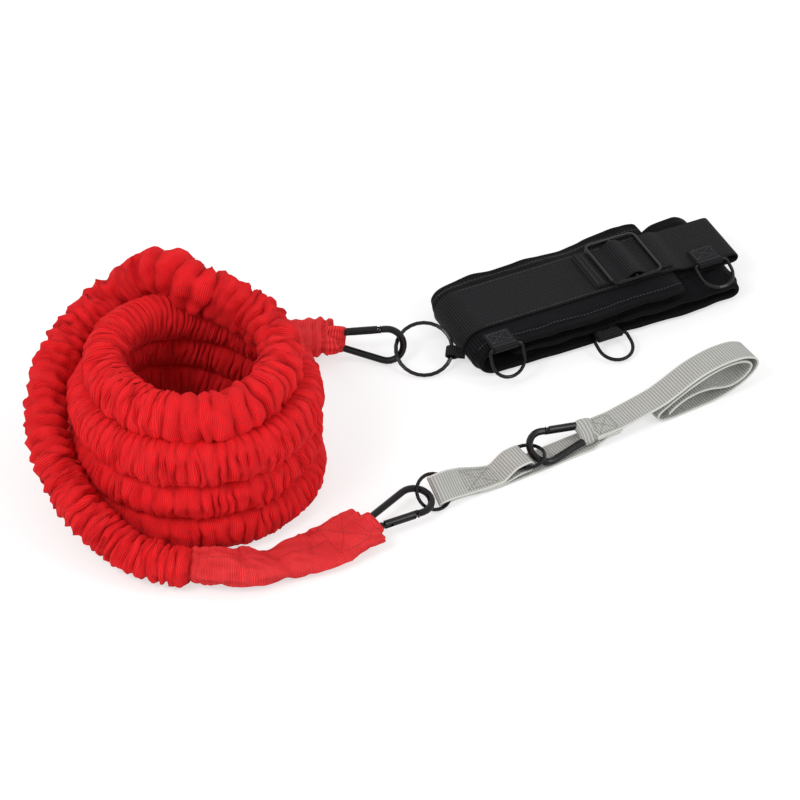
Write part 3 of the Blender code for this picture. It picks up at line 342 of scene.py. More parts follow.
class Finish(Graph):
    """The material of one of the object's finishes, round a shader whose plain numbers are set on it."""

    def __init__(self, name, **numbers):
        self.material = bpy.data.materials.new(name)
        super().__init__(self.material)
        self.shader = self.tree.nodes["Principled BSDF"]
        for socket, number in numbers.items():
            self.shader.inputs[socket.replace("_", " ").title().replace("Ior", "IOR")].default_value = number

    def cloth(self):
        """Distances along a piece of cloth and across it, in metres."""
        place = self.node("ShaderNodeUVMap", {"uv_map": "cloth"})
        return [self.node("ShaderNodeSeparateXYZ", {}, {0: place}, out) for out in (0, 1)]

    def marked(self, name):
        return self.node("ShaderNodeAttribute", {"attribute_name": name}, {}, "Fac")

    def speckle(self, size, detail=3.0):
        """Uneven patches from 0 to 1, about one size across, fixed to the object."""
        place = self.node("ShaderNodeTexCoord", out="Object")
        return self.node("ShaderNodeTexNoise", {}, {"Vector": place, "Scale": 1 / size, "Detail": detail})

    def tone(self, share, low, high):
        return self.node("ShaderNodeMix", {"data_type": "RGBA"}, {0: share, 6: low, 7: high}, 2)

    def colour(self, value):
        self.feed(self.shader.inputs["Base Color"], value)

    def rough(self, value):
        self.feed(self.shader.inputs["Roughness"], value)

    def relief(self, height, depth):
        """Raise the surface by a height from 0 to 1 times a depth in metres."""
        bump = self.node("ShaderNodeBump", {}, {"Strength": 1.0, "Distance": depth, "Height": height})
        self.feed(self.shader.inputs["Normal"], bump)


def paint(red, green, blue):
    """A colour as it is seen, from 0 to 255, as the shader takes it."""
    linear = [(c / 255 / 12.92) if c < 11 else ((c / 255 + 0.055) / 1.055) ** 2.4 for c in (red, green, blue)]
    return (*linear, 1.0)


def ribbed_red(name, bright_tones):
    """Red polyester with fine ribs across its length, painted paler on the ribs' and gathers' crests as a painted
    highlight, and deeper in the folds as painted shade.
    """
    finish = Finish(name, roughness=0.82, sheen_weight=0.06, sheen_roughness=0.4, sheen_tint=paint(255, 90, 90),
                    specular_ior_level=0.14)
    along, across = finish.cloth()
    ribs = (along + finish.speckle(0.006) * 0.0004).ridges(0.00118)
    threads = across.ridges(0.0009)
    patches = finish.speckle(0.018)
    painted_shade_tones = finish.tone(patches, paint(160, 3, 10), paint(184, 7, 15))
    bright = finish.tone(patches, *bright_tones)
    # Painted highlight and shade: the colour is paler on rib crests and gather crests, and deeper in their hollows
    # and folds.
    finish.colour(finish.tone(ribs * 0.60 + 0.09 + finish.marked("crest") * 0.46, painted_shade_tones, bright))
    finish.rough(0.9 - ribs * 0.14)
    finish.relief(ribs * 0.75 + threads * 0.12 + finish.speckle(0.0007) * 0.13, 0.00062)
    return finish


def round_a_ring(sides):
    """The angles of a ring's points, with their cosines and sines as one row."""
    angles = tau * np.arange(sides) / sides
    return angles, np.cos(angles)[None, :], np.sin(angles)[None, :]


def gather_rings(length):
    """Along the sleeve: each ring's distance, its gather's number and its share of the crest's height."""
    distances, numbers, heights = [], [], []
    place, number = 0.0, 0
    while place < length - LEAST_GATHER:
        share = place / length
        width = np.interp(share, GATHERS[:, 0], GATHERS[:, 1])
        in_loop, past_loop = (smooth_step((share - start) / LOOP_EASE) for start in (LOOP_START, LOOP_END))
        pointed = in_loop * (1 - 0.6 * past_loop)
        width *= 1 + mix(0.75, 0.45, pointed) * noise.noise(Vector((number * 1.37, 4.1, 0.6)))
        width = min(width, length - place)
        for step, (round_height, sharp_height) in enumerate(zip(GATHER_PROFILE, POINTED_PROFILE)):
            height = mix(round_height, sharp_height, pointed)
            distances.append(place + width * step / len(GATHER_PROFILE))
            numbers.append(number + (step > 2))
            heights.append(height)
        place += width
        number += 1
    return np.array([*distances, length]), np.array([*numbers, number]), np.array([*heights, 0.0])


def gathered_sleeve(curve, start, end):
    length = end - start
    distances, numbers, heights = gather_rings(length)
    shares = distances / length
    width, depth, crest, ruffle = (np.interp(shares, GATHERS[:, 0], GATHERS[:, n])[:, None] for n in range(1, 5))
    _, c, s = round_a_ring(SLEEVE_SIDES)
    d, n, h = distances[:, None], numbers[:, None], heights[:, None]
    open_fold = 0.2 + 0.8 * smooth_step(0.6 + 1.9 * rumple(n * 1.7, c * 0.9, s * 0.9, seed=3.3))
    lump = rumple(d / (1.9 * width), 1.2 * c, 1.2 * s, seed=8.1)
    corner = np.maximum(rumple(n * 2.3, 1.7 * c, 1.7 * s, seed=1.7) + 0.10, 0.0)
    stacked = shares[:, None] < LOOP_START
    points = places_on(curve, start + distances)
    raised, under_top, top_turn = (
        smooth_step((points[:, 2:] - height) / STRETCH_EASE) for height in STRETCH_HEIGHTS)
    covered = np.where(s < 0, -s, s * (1 - top_turn))
    fold = 1 - (1 - h) * open_fold * (1 - STACK_FILL * smooth_step((covered - 0.50) / 0.30) * stacked)
    radius = crest - depth * (1 - fold) + (0.9 * lump * ruffle + 2.5 * corner * ruffle * h)
    radius = np.maximum(np.minimum(radius, RUFFLE_LIMIT), np.interp(shares, *LEAST_RADII)[:, None])
    shift = width * np.where(stacked, *SLANTS) * rumple(d / (2.4 * width), c, s, seed=5.9)
    shift = shift * np.minimum(1.0, np.minimum(d, length - d) / SLANT_START)
    along, across, up = directions(points)
    lift = radius * s
    lift = np.where(shares[:, None] < LOOP_SHARE, np.clip(lift, -STACK_REACH, STACK_REACH), lift)
    lift = lift * np.where(s < 0, 1 + UNDERSIDE_STRETCH * (raised + top_turn), 1 + UPPER_STRETCH * under_top)
    lift = np.clip(lift, -RUFFLE_LIMIT, RUFFLE_LIMIT)
    grid = points[:, None] + along[:, None] * shift[..., None] + across[:, None] * (radius * c)[..., None]
    grid = grid + up[:, None] * lift[..., None]
    grid[..., 2] = np.maximum(grid[..., 2], FLOOR)
    steps = np.linalg.norm(np.diff(grid, axis=0), axis=2).mean(axis=1)
    mesh = skin(grid, np.concatenate([[0.0], np.cumsum(steps)]),
                SLEEVE_RADIUS * tau * np.arange(SLEEVE_SIDES + 1) / SLEEVE_SIDES)
    # The crest mark is each point's height in its gather; the material paints shade in the folds and highlight on
    # the crests from it.
    mark(mesh, "crest", np.clip(fold + 0.25 * lump, 0, 1))
    return mesh


tube_line, sleeve_start, sleeve_end, tube_end = tube_route()
red_sleeve = ribbed_red("ribbed red sleeve", (paint(252, 26, 34), paint(255, 46, 50)))
sleeve = fit("sleeve", gathered_sleeve(tube_line, sleeve_start, sleeve_end), "bungee",
             red_sleeve, ["gathered_sleeve"])


# Elastic tube. Pale latex tubing of 12.6 mm that runs inside the sleeve and is knotted in
# each cuff. The sleeve and the cuffs hide all of it.

def set_finish(node, finish):
    """Give one of the model's own solids its finish."""
    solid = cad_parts[node]
    solid.data.materials.clear()
    solid.data.materials.append(finish.material)


latex = Finish("latex tube", roughness=0.45, subsurface_weight=0.15, subsurface_scale=0.004)
bloom = latex.speckle(0.008, 4.0)
latex.colour(latex.tone(bloom, paint(214, 186, 132), paint(232, 210, 164)))
latex.rough(bloom * 0.2 + 0.38)
latex.relief(latex.speckle(0.0015, 2.0), 0.0001)
set_finish("elastic_tube", latex)


# End cuffs. The sleeve's own cloth, sewn flat and doubled at each end, with a seam along
# it and, on the lower cuff, a crossed box of stitches, and bunched round the end of a snap hook.

CUFF_CLOTH_WIDTH = 0.0506
CUFF_SIDES = 96
CUFF_RING_SPACING = 0.0010
# Widths, heights and sideways shifts of a cuff, evenly spaced from the sleeve to the hook
LOWER_CUFF_WIDTHS = (0.0255, 0.0330, 0.0360, 0.0350, 0.0315, 0.0375, 0.0420, 0.0445, 0.0460, 0.0430)
LOWER_CUFF_HEIGHTS = (0.0250, 0.0235, 0.0225, 0.0215, 0.0190, 0.0165, 0.0140, 0.0125, 0.0112, 0.0104)
LOWER_CUFF_SWAYS = (0.0025, 0.0045, 0.0050, 0.0035, 0.0030, 0.0065, 0.0075, 0.0060, 0.0035, 0.0010)
UPPER_CUFF_WIDTHS = (0.0300, 0.0340, 0.0380, 0.0410, 0.0440, 0.0450, 0.0420, 0.0360)
UPPER_CUFF_HEIGHTS = (0.0270, 0.0250, 0.0240, 0.0230, 0.0220, 0.0210, 0.0180, 0.0145)
UPPER_CUFF_SWAYS = (0.0, 0.0010, 0.0030, 0.0055, 0.0080, 0.0085, 0.0065, 0.0030)
# How far a cuff's two corners reach past its last ring
LOWER_CUFF_LOBES = (0.0012, 0.0042)
UPPER_CUFF_LOBES = (0.0092, 0.0034)
# The rings that close a cuff: share of the last ring's width, and share of that reach
CUFF_END_ROWS = ((0.97, 0.45), (0.88, 0.80), (0.70, 0.96), (0.42, 1.0), (0.12, 1.0))
CUFF_END_SPACING = 0.0012
CUFF_LIFT = 0.0008
GATHER_SPACING = 0.0062
GATHER_SWELL = 0.0026
SOFT_SWELL = 0.0023
CREASE_SWELL = 0.0015
TUCK_DEPTH = 0.0028
PLEATS = 11
PLEAT_SWELL = 0.0012
ROLL_SPACING = 0.0078
SEAM_SIDE = -0.20
SEAM_SLOPE = 0.30
SEAM_START = 0.010
SEAM_END = 0.78
SEAM_SUNK = 0.0010
BOX_NEAR = 0.035
BOX_FAR = 0.008
BOX_HALF = 0.72
HOOK_HALF_WIDTH = 0.0092
HOOK_WIRE = 0.0058
HOOK_NARROW_RADIUS = 0.006
HOOK_SETBACK = HOOK_NARROW_RADIUS + HOOK_WIRE / 2 + 0.0011
# Along a neck, in the hook's own frame: place, half width and half height
NECK_ROWS = (
    (-0.0138, 0.0090, 0.0048), (-0.0118, 0.0101, 0.0050), (-0.0098, 0.0106, 0.0051),
    (-0.0075, 0.0109, 0.0051), (-0.0050, 0.0110, 0.0049), (-0.0028, 0.0109, 0.0046),
    (-0.0010, 0.0106, 0.0041), (0.0002, 0.0100, 0.0035), (0.0010, 0.0090, 0.0027),
    (0.0014, 0.0075, 0.0017), (0.0015, 0.0050, 0.0006),
)
NECK_LENGTH = 0.0155
NECK_RINGS = 34
NECK_SIDES = 72
NECK_CLOTH = 0.022
STITCH_LENGTH = 0.0024
STITCH_SPACING = 0.0031
STITCH_RADIUS = 0.00038
# Along a stitch: share of its length, and share of the thread's radius
STITCH_RINGS = ((-0.5, 0.35), (-0.38, 0.9), (0.0, 1.15), (0.38, 0.9), (0.5, 0.35))
STITCH_SIDES = 6


def shares_at(shares, places):
    return np.interp(places, np.linspace(0, 1, len(shares)), shares)


def cuff_grid(start, end, widths, heights, sways, rolls, lobes, seed):
    """Rings of points over a cuff, from the sleeve to the hook, and the distance of each."""
    length = abs(end - start)
    count = int(length / CUFF_RING_SPACING)
    places = np.linspace(0, 1, count)
    points = places_on(tube_line, mix(start, end, places))
    along, across, up = directions(points)
    angles, c, s = round_a_ring(CUFF_SIDES)
    p, d = places[:, None], (places * length)[:, None]
    left = length - d
    flat = smooth_step(p * 1.5 - 0.1)
    wide, tall = (shares_at(sizes, places)[:, None] / 2 for sizes in (widths, heights))
    sway = shares_at(sways, places)[:, None]
    neck = np.exp(-d / 0.011)
    gathers = np.abs(np.sin(pi * (d / GATHER_SPACING + 0.6 * rumple(d / 0.02, c, s, seed=seed)))) ** 0.6 - 0.6
    soft = rumple(d / 0.024, 1.3 * c, 1.3 * s, seed=seed + 2)
    crease = 1 - 3.2 * np.abs(rumple(d / 0.020 + 0.9 * c, 1.3 * c, 1.3 * s, seed=seed + 5))
    tuck = np.exp(-((p - 0.44 + 0.05 * c) / 0.030) ** 2) + 0.7 * np.exp(-((p - 0.66 - 0.07 * c) / 0.022) ** 2)
    tuck = tuck + 0.55 * np.exp(-((p - 0.20 - 0.06 * s) / 0.030) ** 2)
    pleats = np.cos(PLEATS * angles + 2.6 * rumple(d / 0.01, c, s, seed=seed + 7))
    bunched = np.exp(-left / 0.006)
    swell = GATHER_SWELL * neck * gathers + SOFT_SWELL * soft * (1 - 0.5 * flat)
    swell = swell + CREASE_SWELL * np.maximum(crease, -0.6) * (1 - bunched)
    swell = swell - TUCK_DEPTH * tuck * (1 - 0.4 * flat) + PLEAT_SWELL * bunched * pleats
    swell = swell + rolls * np.cos(tau * left / ROLL_SPACING + 1.1 * c + 1.3 * soft) * np.exp(-left / 0.018)
    x = wide * np.sign(c) * np.abs(c) ** mix(1.0, 0.86, flat) + swell * c * 0.8
    z = tall * np.sign(s) * np.abs(s) ** mix(1.0, 0.80, flat) + swell * s * mix(1.0, 0.75, flat)
    x = x + 0.0013 * rumple(d / 0.014, np.sign(c) * 3, 0.0, seed=seed + 9)
    seam = np.exp(-((x / wide - SEAM_SIDE - SEAM_SLOPE * p) / 0.035) ** 2)
    z = z - SEAM_SUNK * seam * (s > 0) * smooth_step((SEAM_END - p) / 0.05)
    x = x + sway
    low = smooth_step((p - 0.25) / 0.2) * smooth_step((1 - p) / 0.3)
    drop = np.maximum(points[:, 2:] - tall - CUFF_LIFT, 0.0) * low
    grid = points[:, None] + across[:, None] * x[..., None] + up[:, None] * z[..., None]
    grid[..., 2] -= drop
    closing = []
    half = x[-1] - sway[-1]
    lobe = smooth_step((np.abs(half) - HOOK_HALF_WIDTH * 0.8) / 0.004) * np.where(half < 0, *lobes)
    for step, (inward, onward) in enumerate(CUFF_END_ROWS):
        reach = onward * (0.0004 + lobe * (0.85 + 0.5 * rumple(c[0], s[0], 0.0, seed=seed)))
        middle = np.where(np.abs(half) > HOOK_HALF_WIDTH, np.sign(half) * 0.0115, 0.0)
        side = mix(middle, half, mix(1.0, inward, 0.5 * (lobe > 0.001) + 0.5 * (step > 2))) + sway[-1]
        closing.append(points[-1] + along[-1] * reach[:, None] + across[-1] * side[:, None]
                       + up[-1] * (z[-1] * inward)[:, None])
    grid = np.concatenate([grid, np.array(closing)])
    grid[..., 2] = np.maximum(grid[..., 2], FLOOR)
    distances = np.concatenate([places * length, length + CUFF_END_SPACING * np.arange(1, len(closing) + 1)])
    # The crest mark follows how far the cloth swells out, for painted shade in tucks and creases and painted
    # highlight on the swells.
    crest = np.clip(np.concatenate([0.72 + 190 * swell, np.full((len(closing), CUFF_SIDES), 0.5)]), 0, 1)
    return grid, distances, crest


def cuff_skin(grid, distances, crest):
    mesh = skin(grid, distances, CUFF_CLOTH_WIDTH * np.linspace(0, 2, CUFF_SIDES + 1))
    mark(mesh, "crest", crest)
    return mesh


def on_cuff(grid, distances, places):
    """Points on the upper face of a cuff, from distances along it and shares across it."""
    found = []
    for distance, share in places:
        ring = np.interp(distance, distances, np.arange(len(distances)))
        side = np.arccos(np.clip(share, -1, 1)) / tau * CUFF_SIDES
        a, b = int(ring), int(side)
        over, round_ = ring - a, side - b
        here = mix(grid[a, b], grid[a, b + 1], round_)
        there = mix(grid[a + 1, b], grid[a + 1, b + 1], round_)
        found.append(mix(here, there, over))
    return np.array(found)


def line_of(corners, spacing=0.001):
    """Evenly spaced places along straight lines between corners."""
    corners = np.asarray(corners, float)
    length = lengths_along(corners)
    return places_on(corners, np.linspace(0, length[-1], max(int(length[-1] / spacing), 2) + 1))


def stitches(lines):
    """Stitches of thread, each a small round-ended bar, along lines that lie on a surface."""
    corners, faces = [], []
    for line in lines:
        for number in range(int(lengths_along(line)[-1] / STITCH_SPACING)):
            middle = (number + 0.5) * STITCH_SPACING
            a, b = places_on(line, np.array([middle - STITCH_LENGTH / 2, middle + STITCH_LENGTH / 2]))
            along = (b - a) / np.linalg.norm(b - a)
            first = np.cross((0.12, 0.05, 1.0), along)
            first /= np.linalg.norm(first)
            second = np.cross(along, first)
            base = len(corners)
            for place, size in STITCH_RINGS:
                for angle in round_a_ring(STITCH_SIDES)[0]:
                    outwards = first * cos(angle) + second * sin(angle)
                    corners.append(mix(a, b, place + 0.5) + STITCH_RADIUS * size * outwards)
            bar = tube_faces(len(STITCH_RINGS), STITCH_SIDES)
            faces += [[base + corner for corner in face] for face in bar]
    mesh = bpy.data.meshes.new("stitches")
    mesh.from_pydata(np.array(corners).tolist(), [], faces)
    mesh.shade_smooth()
    return mesh


def moved(points, place):
    """Points in a piece's own frame, as places on the whole object."""
    return np.asarray(points, float) @ np.array(place.to_3x3()).T + np.array(place.translation)


def neck_mesh(place, reach, seed):
    """Cloth gathered in and folded over the narrow end of a hook, in the hook's own frame."""
    angles, c, s = round_a_ring(NECK_SIDES)
    places, halves, heights = np.array(NECK_ROWS).T
    fine = np.linspace(0, 1, NECK_RINGS)
    x, half, high = (shares_at(row, fine)[:, None] for row in (places, halves, heights))
    bend = rumple(x / 0.009, 1.1 * c, 1.1 * s, seed=seed)
    fold = np.abs(np.sin(4.5 * angles + 2.0 * bend + 60 * x)) ** 0.7 - 0.55
    swell = (0.00055 * fold + 0.0009 * bend) * smooth_step((1 - fine[:, None]) / 0.25)
    y = (half + swell) * np.sign(c) * np.abs(c) ** 0.85
    z = (high + swell) * np.sign(s) * np.abs(s) ** 0.75
    x = x + reach * smooth_step(fine[:, None] / 0.6) + 0.0009 * bend * smooth_step(fine[:, None] / 0.3)
    grid = moved(np.stack([x, y, z], axis=-1), place)
    grid[..., 2] = np.maximum(grid[..., 2], FLOOR)
    mesh = skin(grid, places[0] + NECK_LENGTH * fine, NECK_CLOTH * np.linspace(-0.5, 0.5, NECK_SIDES + 1))
    face_outwards(mesh)
    # The crest mark follows the folds, for painted shade in them and painted highlight on their ridges.
    mark(mesh, "crest", np.clip(0.5 + 0.7 * fold + 0.5 * bend, 0, 1))
    return mesh


def placed(place, roll=0.0, pitch=0.0, heading=0.0):
    """A frame from its place and its turns in degrees."""
    return Matrix.Translation(place) @ Euler((radians(roll), radians(pitch), radians(heading))).to_matrix().to_4x4()


def sewing_thread(name, low, high, **numbers):
    """Twisted sewing thread, a little uneven in its colour."""
    finish = Finish(name, **numbers)
    finish.colour(finish.tone(finish.speckle(0.002), low, high))
    finish.relief(finish.speckle(0.0003, 2.0), 0.0001)
    return finish


upper_hook_place = placed((-0.10925, 0.06745, UPPER_HOOK_HEIGHT), 63, 4, -6)
lower_hook_place = placed((-0.08232, -0.14854, LOWER_HOOK_HEIGHT), 188, 0, 38)
# The cuffs are the sleeve's own cloth, painted in paler tones than the sleeve: a lit copy of the same cloth.
red_cuff = ribbed_red("ribbed red cuff", (paint(255, 54, 60), paint(255, 74, 76)))
red_thread = sewing_thread("red thread", paint(164, 8, 16), paint(198, 16, 24), roughness=0.7, sheen_weight=0.1)

lower_cuff = cuff_grid(sleeve_end, tube_end, LOWER_CUFF_WIDTHS, LOWER_CUFF_HEIGHTS, LOWER_CUFF_SWAYS,
                       0.0004, LOWER_CUFF_LOBES, 11.3)
upper_cuff = cuff_grid(sleeve_start, 0.0, UPPER_CUFF_WIDTHS, UPPER_CUFF_HEIGHTS, UPPER_CUFF_SWAYS,
                       0.0025, UPPER_CUFF_LOBES, 27.9)
for cuff, shape in (("lower", lower_cuff), ("upper", upper_cuff)):
    fit(f"{cuff}_cuff", cuff_skin(*shape), "bungee", red_cuff, [f"{cuff}_end_cuff"])
fit("lower_cuff_neck", neck_mesh(lower_hook_place, -0.0014, 4.1), "bungee", red_cuff)
fit("upper_cuff_neck", neck_mesh(upper_hook_place, 0.0026, 8.8), "bungee", red_cuff)


def crossed_box(near, far, half):
    """The corners of a box of stitches and of the cross inside it: along, and share across."""
    box = [(near, -half), (far, -half), (far, half), (near, half), (near, -half)]
    return [box, [(near, -half), (far, half)], [(far, -half), (near, half)]]


def shared_line(corners, steps=40):
    corners = np.asarray(corners, float)
    where = np.linspace(0, len(corners) - 1, steps * (len(corners) - 1) + 1)
    return np.stack([np.interp(where, np.arange(len(corners)), corners[:, n]) for n in range(2)], axis=1)


def cuff_stitches(cuff, length, boxed):
    grid, distances, _ = cuff
    box = crossed_box(length - BOX_NEAR, length - BOX_FAR, BOX_HALF) if boxed else []
    seam = [(SEAM_START, SEAM_SIDE), (length * SEAM_END, SEAM_SIDE + SEAM_SLOPE * SEAM_END)]
    return stitches([on_cuff(grid, distances, shared_line(corners)) for corners in [*box, seam]])


fit("lower_cuff_stitches", cuff_stitches(lower_cuff, tube_end - sleeve_end, True), "bungee", red_thread)
fit("upper_cuff_stitches", cuff_stitches(upper_cuff, sleeve_start, False), "bungee", red_thread)


# Snap hooks. Bent steel wire of 5.8 mm, painted gloss black, with a hollow gate that turns
# on a pin, a second pin that catches the hook's nose, and a small spring inside the gate.

black_metal = Finish("black painted metal", metallic=0.0, coat_weight=0.08, coat_roughness=0.08,
                     specular_ior_level=0.22)
smears = black_metal.speckle(0.012, 4.0)
rubbed = black_metal.speckle(0.003, 5.0).past(0.60, 0.74)
black_metal.colour(black_metal.tone(rubbed * 0.35, paint(9, 9, 10), paint(40, 40, 42)))
black_metal.rough(smears * 0.16 + 0.16 + rubbed * 0.14)
black_metal.relief(black_metal.speckle(0.0022, 3.0), 0.00006)

spring_steel = Finish("spring steel", metallic=1.0)
spring_steel.colour(spring_steel.tone(spring_steel.speckle(0.002), paint(168, 168, 172), paint(206, 206, 210)))
spring_steel.rough(spring_steel.speckle(0.0015) * 0.2 + 0.2)
spring_steel.relief(spring_steel.speckle(0.0004, 2.0), 0.00003)

for hook in ("upper_hook", "lower_hook", "strap_hook"):
    for part in ("body", "gate", "hinge_pin", "nose_pin"):
        set_finish(f"{hook}_{part}", black_metal)
    set_finish(f"{hook}_gate_spring", spring_steel)


# Rings. Welded steel rings, dipped in the same black paint: one large ring at the back of
# the belt and two small ones on the anchor strap.

for ring in ("back_ring", "lower_strap_ring", "upper_strap_ring"):
    set_finish(ring, black_metal)


# Anchor strap. Grey nylon webbing of 25 mm with pale edges. A short piece holds a ring at
# each end and is sewn through its three layers. A long piece is sewn round the third
# hook, and its loop lies rolled up on the floor.

STRAP_HEADING = 30.5
STRAP_PLACE = (-0.03723, -0.11433, 0.0)
STRAP_WIDTH = 0.0245
STRAP_THICKNESS = 0.0015
STRAP_LAYER = 0.00175
STRAP_LEVEL = GAP + STRAP_THICKNESS / 2 + STRAP_LAYER
STRAP_TWIST = 37
TWIST_START = 0.012
TWIST_RUN = 0.050
RING_SPACING = 0.086
RING_LOOP = 0.0046
RING_LOOP_RUN = 0.020
RAISED_HEIGHT = 0.0102
RAISED_HALF = 0.0042
RAISED_RUN = 0.028
SEWN_RUN = 0.022
SEWN_START = 0.14563
SEWN_BOX = (0.0040, 0.0215)
LIFT_RUNS = (-0.0026, 0.0094)
ROW_START = 0.0285
ROW_SPACING = 0.0030
ROWS = 9
ROW_HALF = 0.0095
STRAP_BOX = (0.0265, 0.0555)
STRAP_BOX_HALF = 0.0088
ROLL_START = 0.2035
ROLL_LENGTH = 0.096
ROLL_HEIGHT = 0.0355
# Round the rolled loop: shares of its length and of its height
ROLL_SHARES = (
    (0.02, 0.48), (0.17, 0.62), (0.35, 0.82), (0.505, 0.944), (0.67, 1.0), (0.83, 0.97),
    (0.91, 0.90), (0.974, 0.803), (1.0, 0.676), (0.99, 0.55), (0.943, 0.41), (0.85, 0.2535),
    (0.745, 0.141), (0.61, 0.060), (0.484, 0.032), (0.193, 0.032), (0.0885, 0.051), (0.026, 0.10),
    (0.0, 0.197), (0.021, 0.296), (0.078, 0.378), (0.193, 0.532), (0.349, 0.721), (0.505, 0.85),
    (0.67, 0.907), (0.807, 0.88), (0.88, 0.811), (0.928, 0.704), (0.932, 0.606), (0.90, 0.479),
    (0.833, 0.355), (0.734, 0.293), (0.63, 0.349), (0.526, 0.434), (0.401, 0.462), (0.276, 0.417),
    (0.172, 0.304), (0.109, 0.18),
)


def arc(centre_x, centre_z, radius, start, end, steps=16):
    angles = np.radians(np.linspace(start, end, steps + 1))
    return [(centre_x + radius * cos(a), centre_z + radius * sin(a)) for a in angles]


def softened(path, spacing=0.0012, reach=2):
    """Evenly spaced places along a path, with its corners eased."""
    path = np.asarray(path, float)
    length = lengths_along(path)[-1]
    even = places_on(path, np.linspace(0, length, int(length / spacing) + 1))
    padded = np.pad(even, ((reach, reach), (0, 0)), mode="edge")
    weights = np.hanning(2 * reach + 3)[1:-1]
    weights /= weights.sum()
    eased = np.stack([np.convolve(padded[:, n], weights, mode="valid") for n in range(2)], axis=1)
    eased[0], eased[-1] = even[0], even[-1]
    return eased


def strap_section(width, thickness, across=12):
    """Round a flat strap with soft edges: shares across it and through it."""
    flat = np.linspace(1, -1, across) * (width / 2 - thickness / 2)
    turn = np.radians((-60, -20, 20, 60))
    right = [(width / 2 - thickness / 2 * (1 - cos(a)), thickness / 2 * sin(a)) for a in turn]
    left = [(-x, -z) for x, z in right]
    top = [(y, thickness / 2) for y in flat]
    bottom = [(y, -thickness / 2) for y in flat[::-1]]
    return np.array([*right, *top, *left, *bottom])


def path_directions(path):
    """Directions along a path of run and height, and square to it."""
    steps = np.gradient(path, axis=0)
    steps /= np.linalg.norm(steps, axis=1)[:, None]
    return steps, np.stack([-steps[:, 1], steps[:, 0]], axis=1)


def strap_mesh(path, width, thickness, place, twist=None, sway=0.0, seed=0.0):
    """Webbing that follows a path of run and height, level across its width, in its own frame."""
    section = strap_section(width, thickness)
    normal = path_directions(path)[1]
    distances = lengths_along(path)
    side = section[None, :, 0] + sway * rumple(distances[:, None] / 0.03, 0.0, 0.0, seed=seed)
    run = path[:, None, 0] + normal[:, None, 0] * section[None, :, 1]
    height = path[:, None, 1] + normal[:, None, 1] * section[None, :, 1]
    grid = np.stack([run, side + 0 * run, height], axis=-1)
    if twist is not None:
        angle, lift = twist(path[:, 0])
        a, b = np.cos(angle)[:, None], np.sin(angle)[:, None]
        grid = np.stack([run, side * a - height * b, side * b + height * a + lift[:, None]], axis=-1)
    grid = moved(grid, place)
    grid[..., 2] = np.maximum(grid[..., 2], GAP)
    mesh = skin(grid, distances, np.append(section[:, 0], section[0, 0]))
    face_outwards(mesh)
    return mesh


def woven(name, width, ribs, tones, edge_tones, edge=0.0016, **numbers):
    """Webbing with ribs across its length, a thread pattern on them, and smooth woven edges, its colour painted
    paler on each rib's crest as a painted highlight.
    """
    finish = Finish(name, **numbers)
    along, across = finish.cloth()
    wander = finish.speckle(0.004) * (ribs * 0.18)
    rib = (along + wander).ridges(ribs)
    thread = (across + along * 0.35).ridges(0.00085)
    fuzz = finish.speckle(0.0006, 2.0)
    edge_share = across.size().past(width / 2 - edge, width / 2 - edge * 0.7)
    patches = finish.speckle(0.014)
    # Painted highlight: the body's colour is paler on the crest of each rib.
    body = finish.tone(rib * 0.70 + thread * 0.14 + patches * 0.16, *tones)
    hem = finish.tone(thread * 0.4 + patches * 0.6, *edge_tones)
    finish.colour(finish.tone(edge_share, body, hem))
    finish.rough(0.84 - rib * 0.16)
    finish.relief((rib * 0.74 + thread * 0.14 + fuzz * 0.12) * (1 - edge_share * 0.7) + edge_share * 0.62, 0.00045)
    return finish


def strap_twist(run):
    """The strap leans where its first ring holds it, and lies flat further on."""
    share = 1 - smooth_step((run - TWIST_START) / TWIST_RUN)
    return radians(STRAP_TWIST) * share, mix(STRAP_LEVEL, LOWER_HOOK_HEIGHT, share)


def ring_strap_path():
    raised = RAISED_HEIGHT - STRAP_LEVEL
    root, fold = RING_SPACING - RAISED_RUN, RING_SPACING - RAISED_HALF
    opening = [(mix(RING_LOOP, RING_LOOP_RUN, a), mix(RING_LOOP, STRAP_LAYER, b))
               for a, b in ((0.333, 0.24), (0.667, 0.59), (1.0, 1.0))]
    path = [(root - SEWN_RUN, 0), (root, 0)]
    path += [(mix(root, fold, a), (raised - RAISED_HALF) * b)
             for a, b in ((0.3, 0.381), (0.5, 0.784), (0.75, 1.0))]
    path += arc(fold, raised, RAISED_HALF, -90, 90)
    path += [(mix(root, fold, a), mix(STRAP_LAYER, raised + RAISED_HALF, b))
             for a, b in ((0.74, 0.98), (0.5, 0.88), (0.25, 0.45), (0.0, 0.0))]
    path += [*opening[::-1], *arc(RING_LOOP, 0, RING_LOOP, 90, 270), *[(run, -height) for run, height in opening]]
    under = raised - 1.5 * (STRAP_THICKNESS + GAP)
    path += [(root, -STRAP_LAYER), (RING_SPACING, -STRAP_LAYER), (SEWN_START + LIFT_RUNS[0], -STRAP_LAYER)]
    return softened([*path, (SEWN_START + LIFT_RUNS[1], under), (SEWN_START + SEWN_RUN, under)])


def loop_strap_path():
    half = (STRAP_THICKNESS + GAP) / 2
    fold = SEWN_START + half + STRAP_THICKNESS / 2
    sewn = [(fold + SEWN_RUN, RAISED_HEIGHT - half), *arc(fold, RAISED_HEIGHT, half, 270, 90, 8),
            (fold + SEWN_RUN, RAISED_HEIGHT + half)]
    roll = [(ROLL_START + ROLL_LENGTH * run, ROLL_HEIGHT * rise) for run, rise in ROLL_SHARES]
    curve = smooth_curve([sewn[-1], *roll], 8)
    return softened([*sewn[:-1], *curve], reach=1)


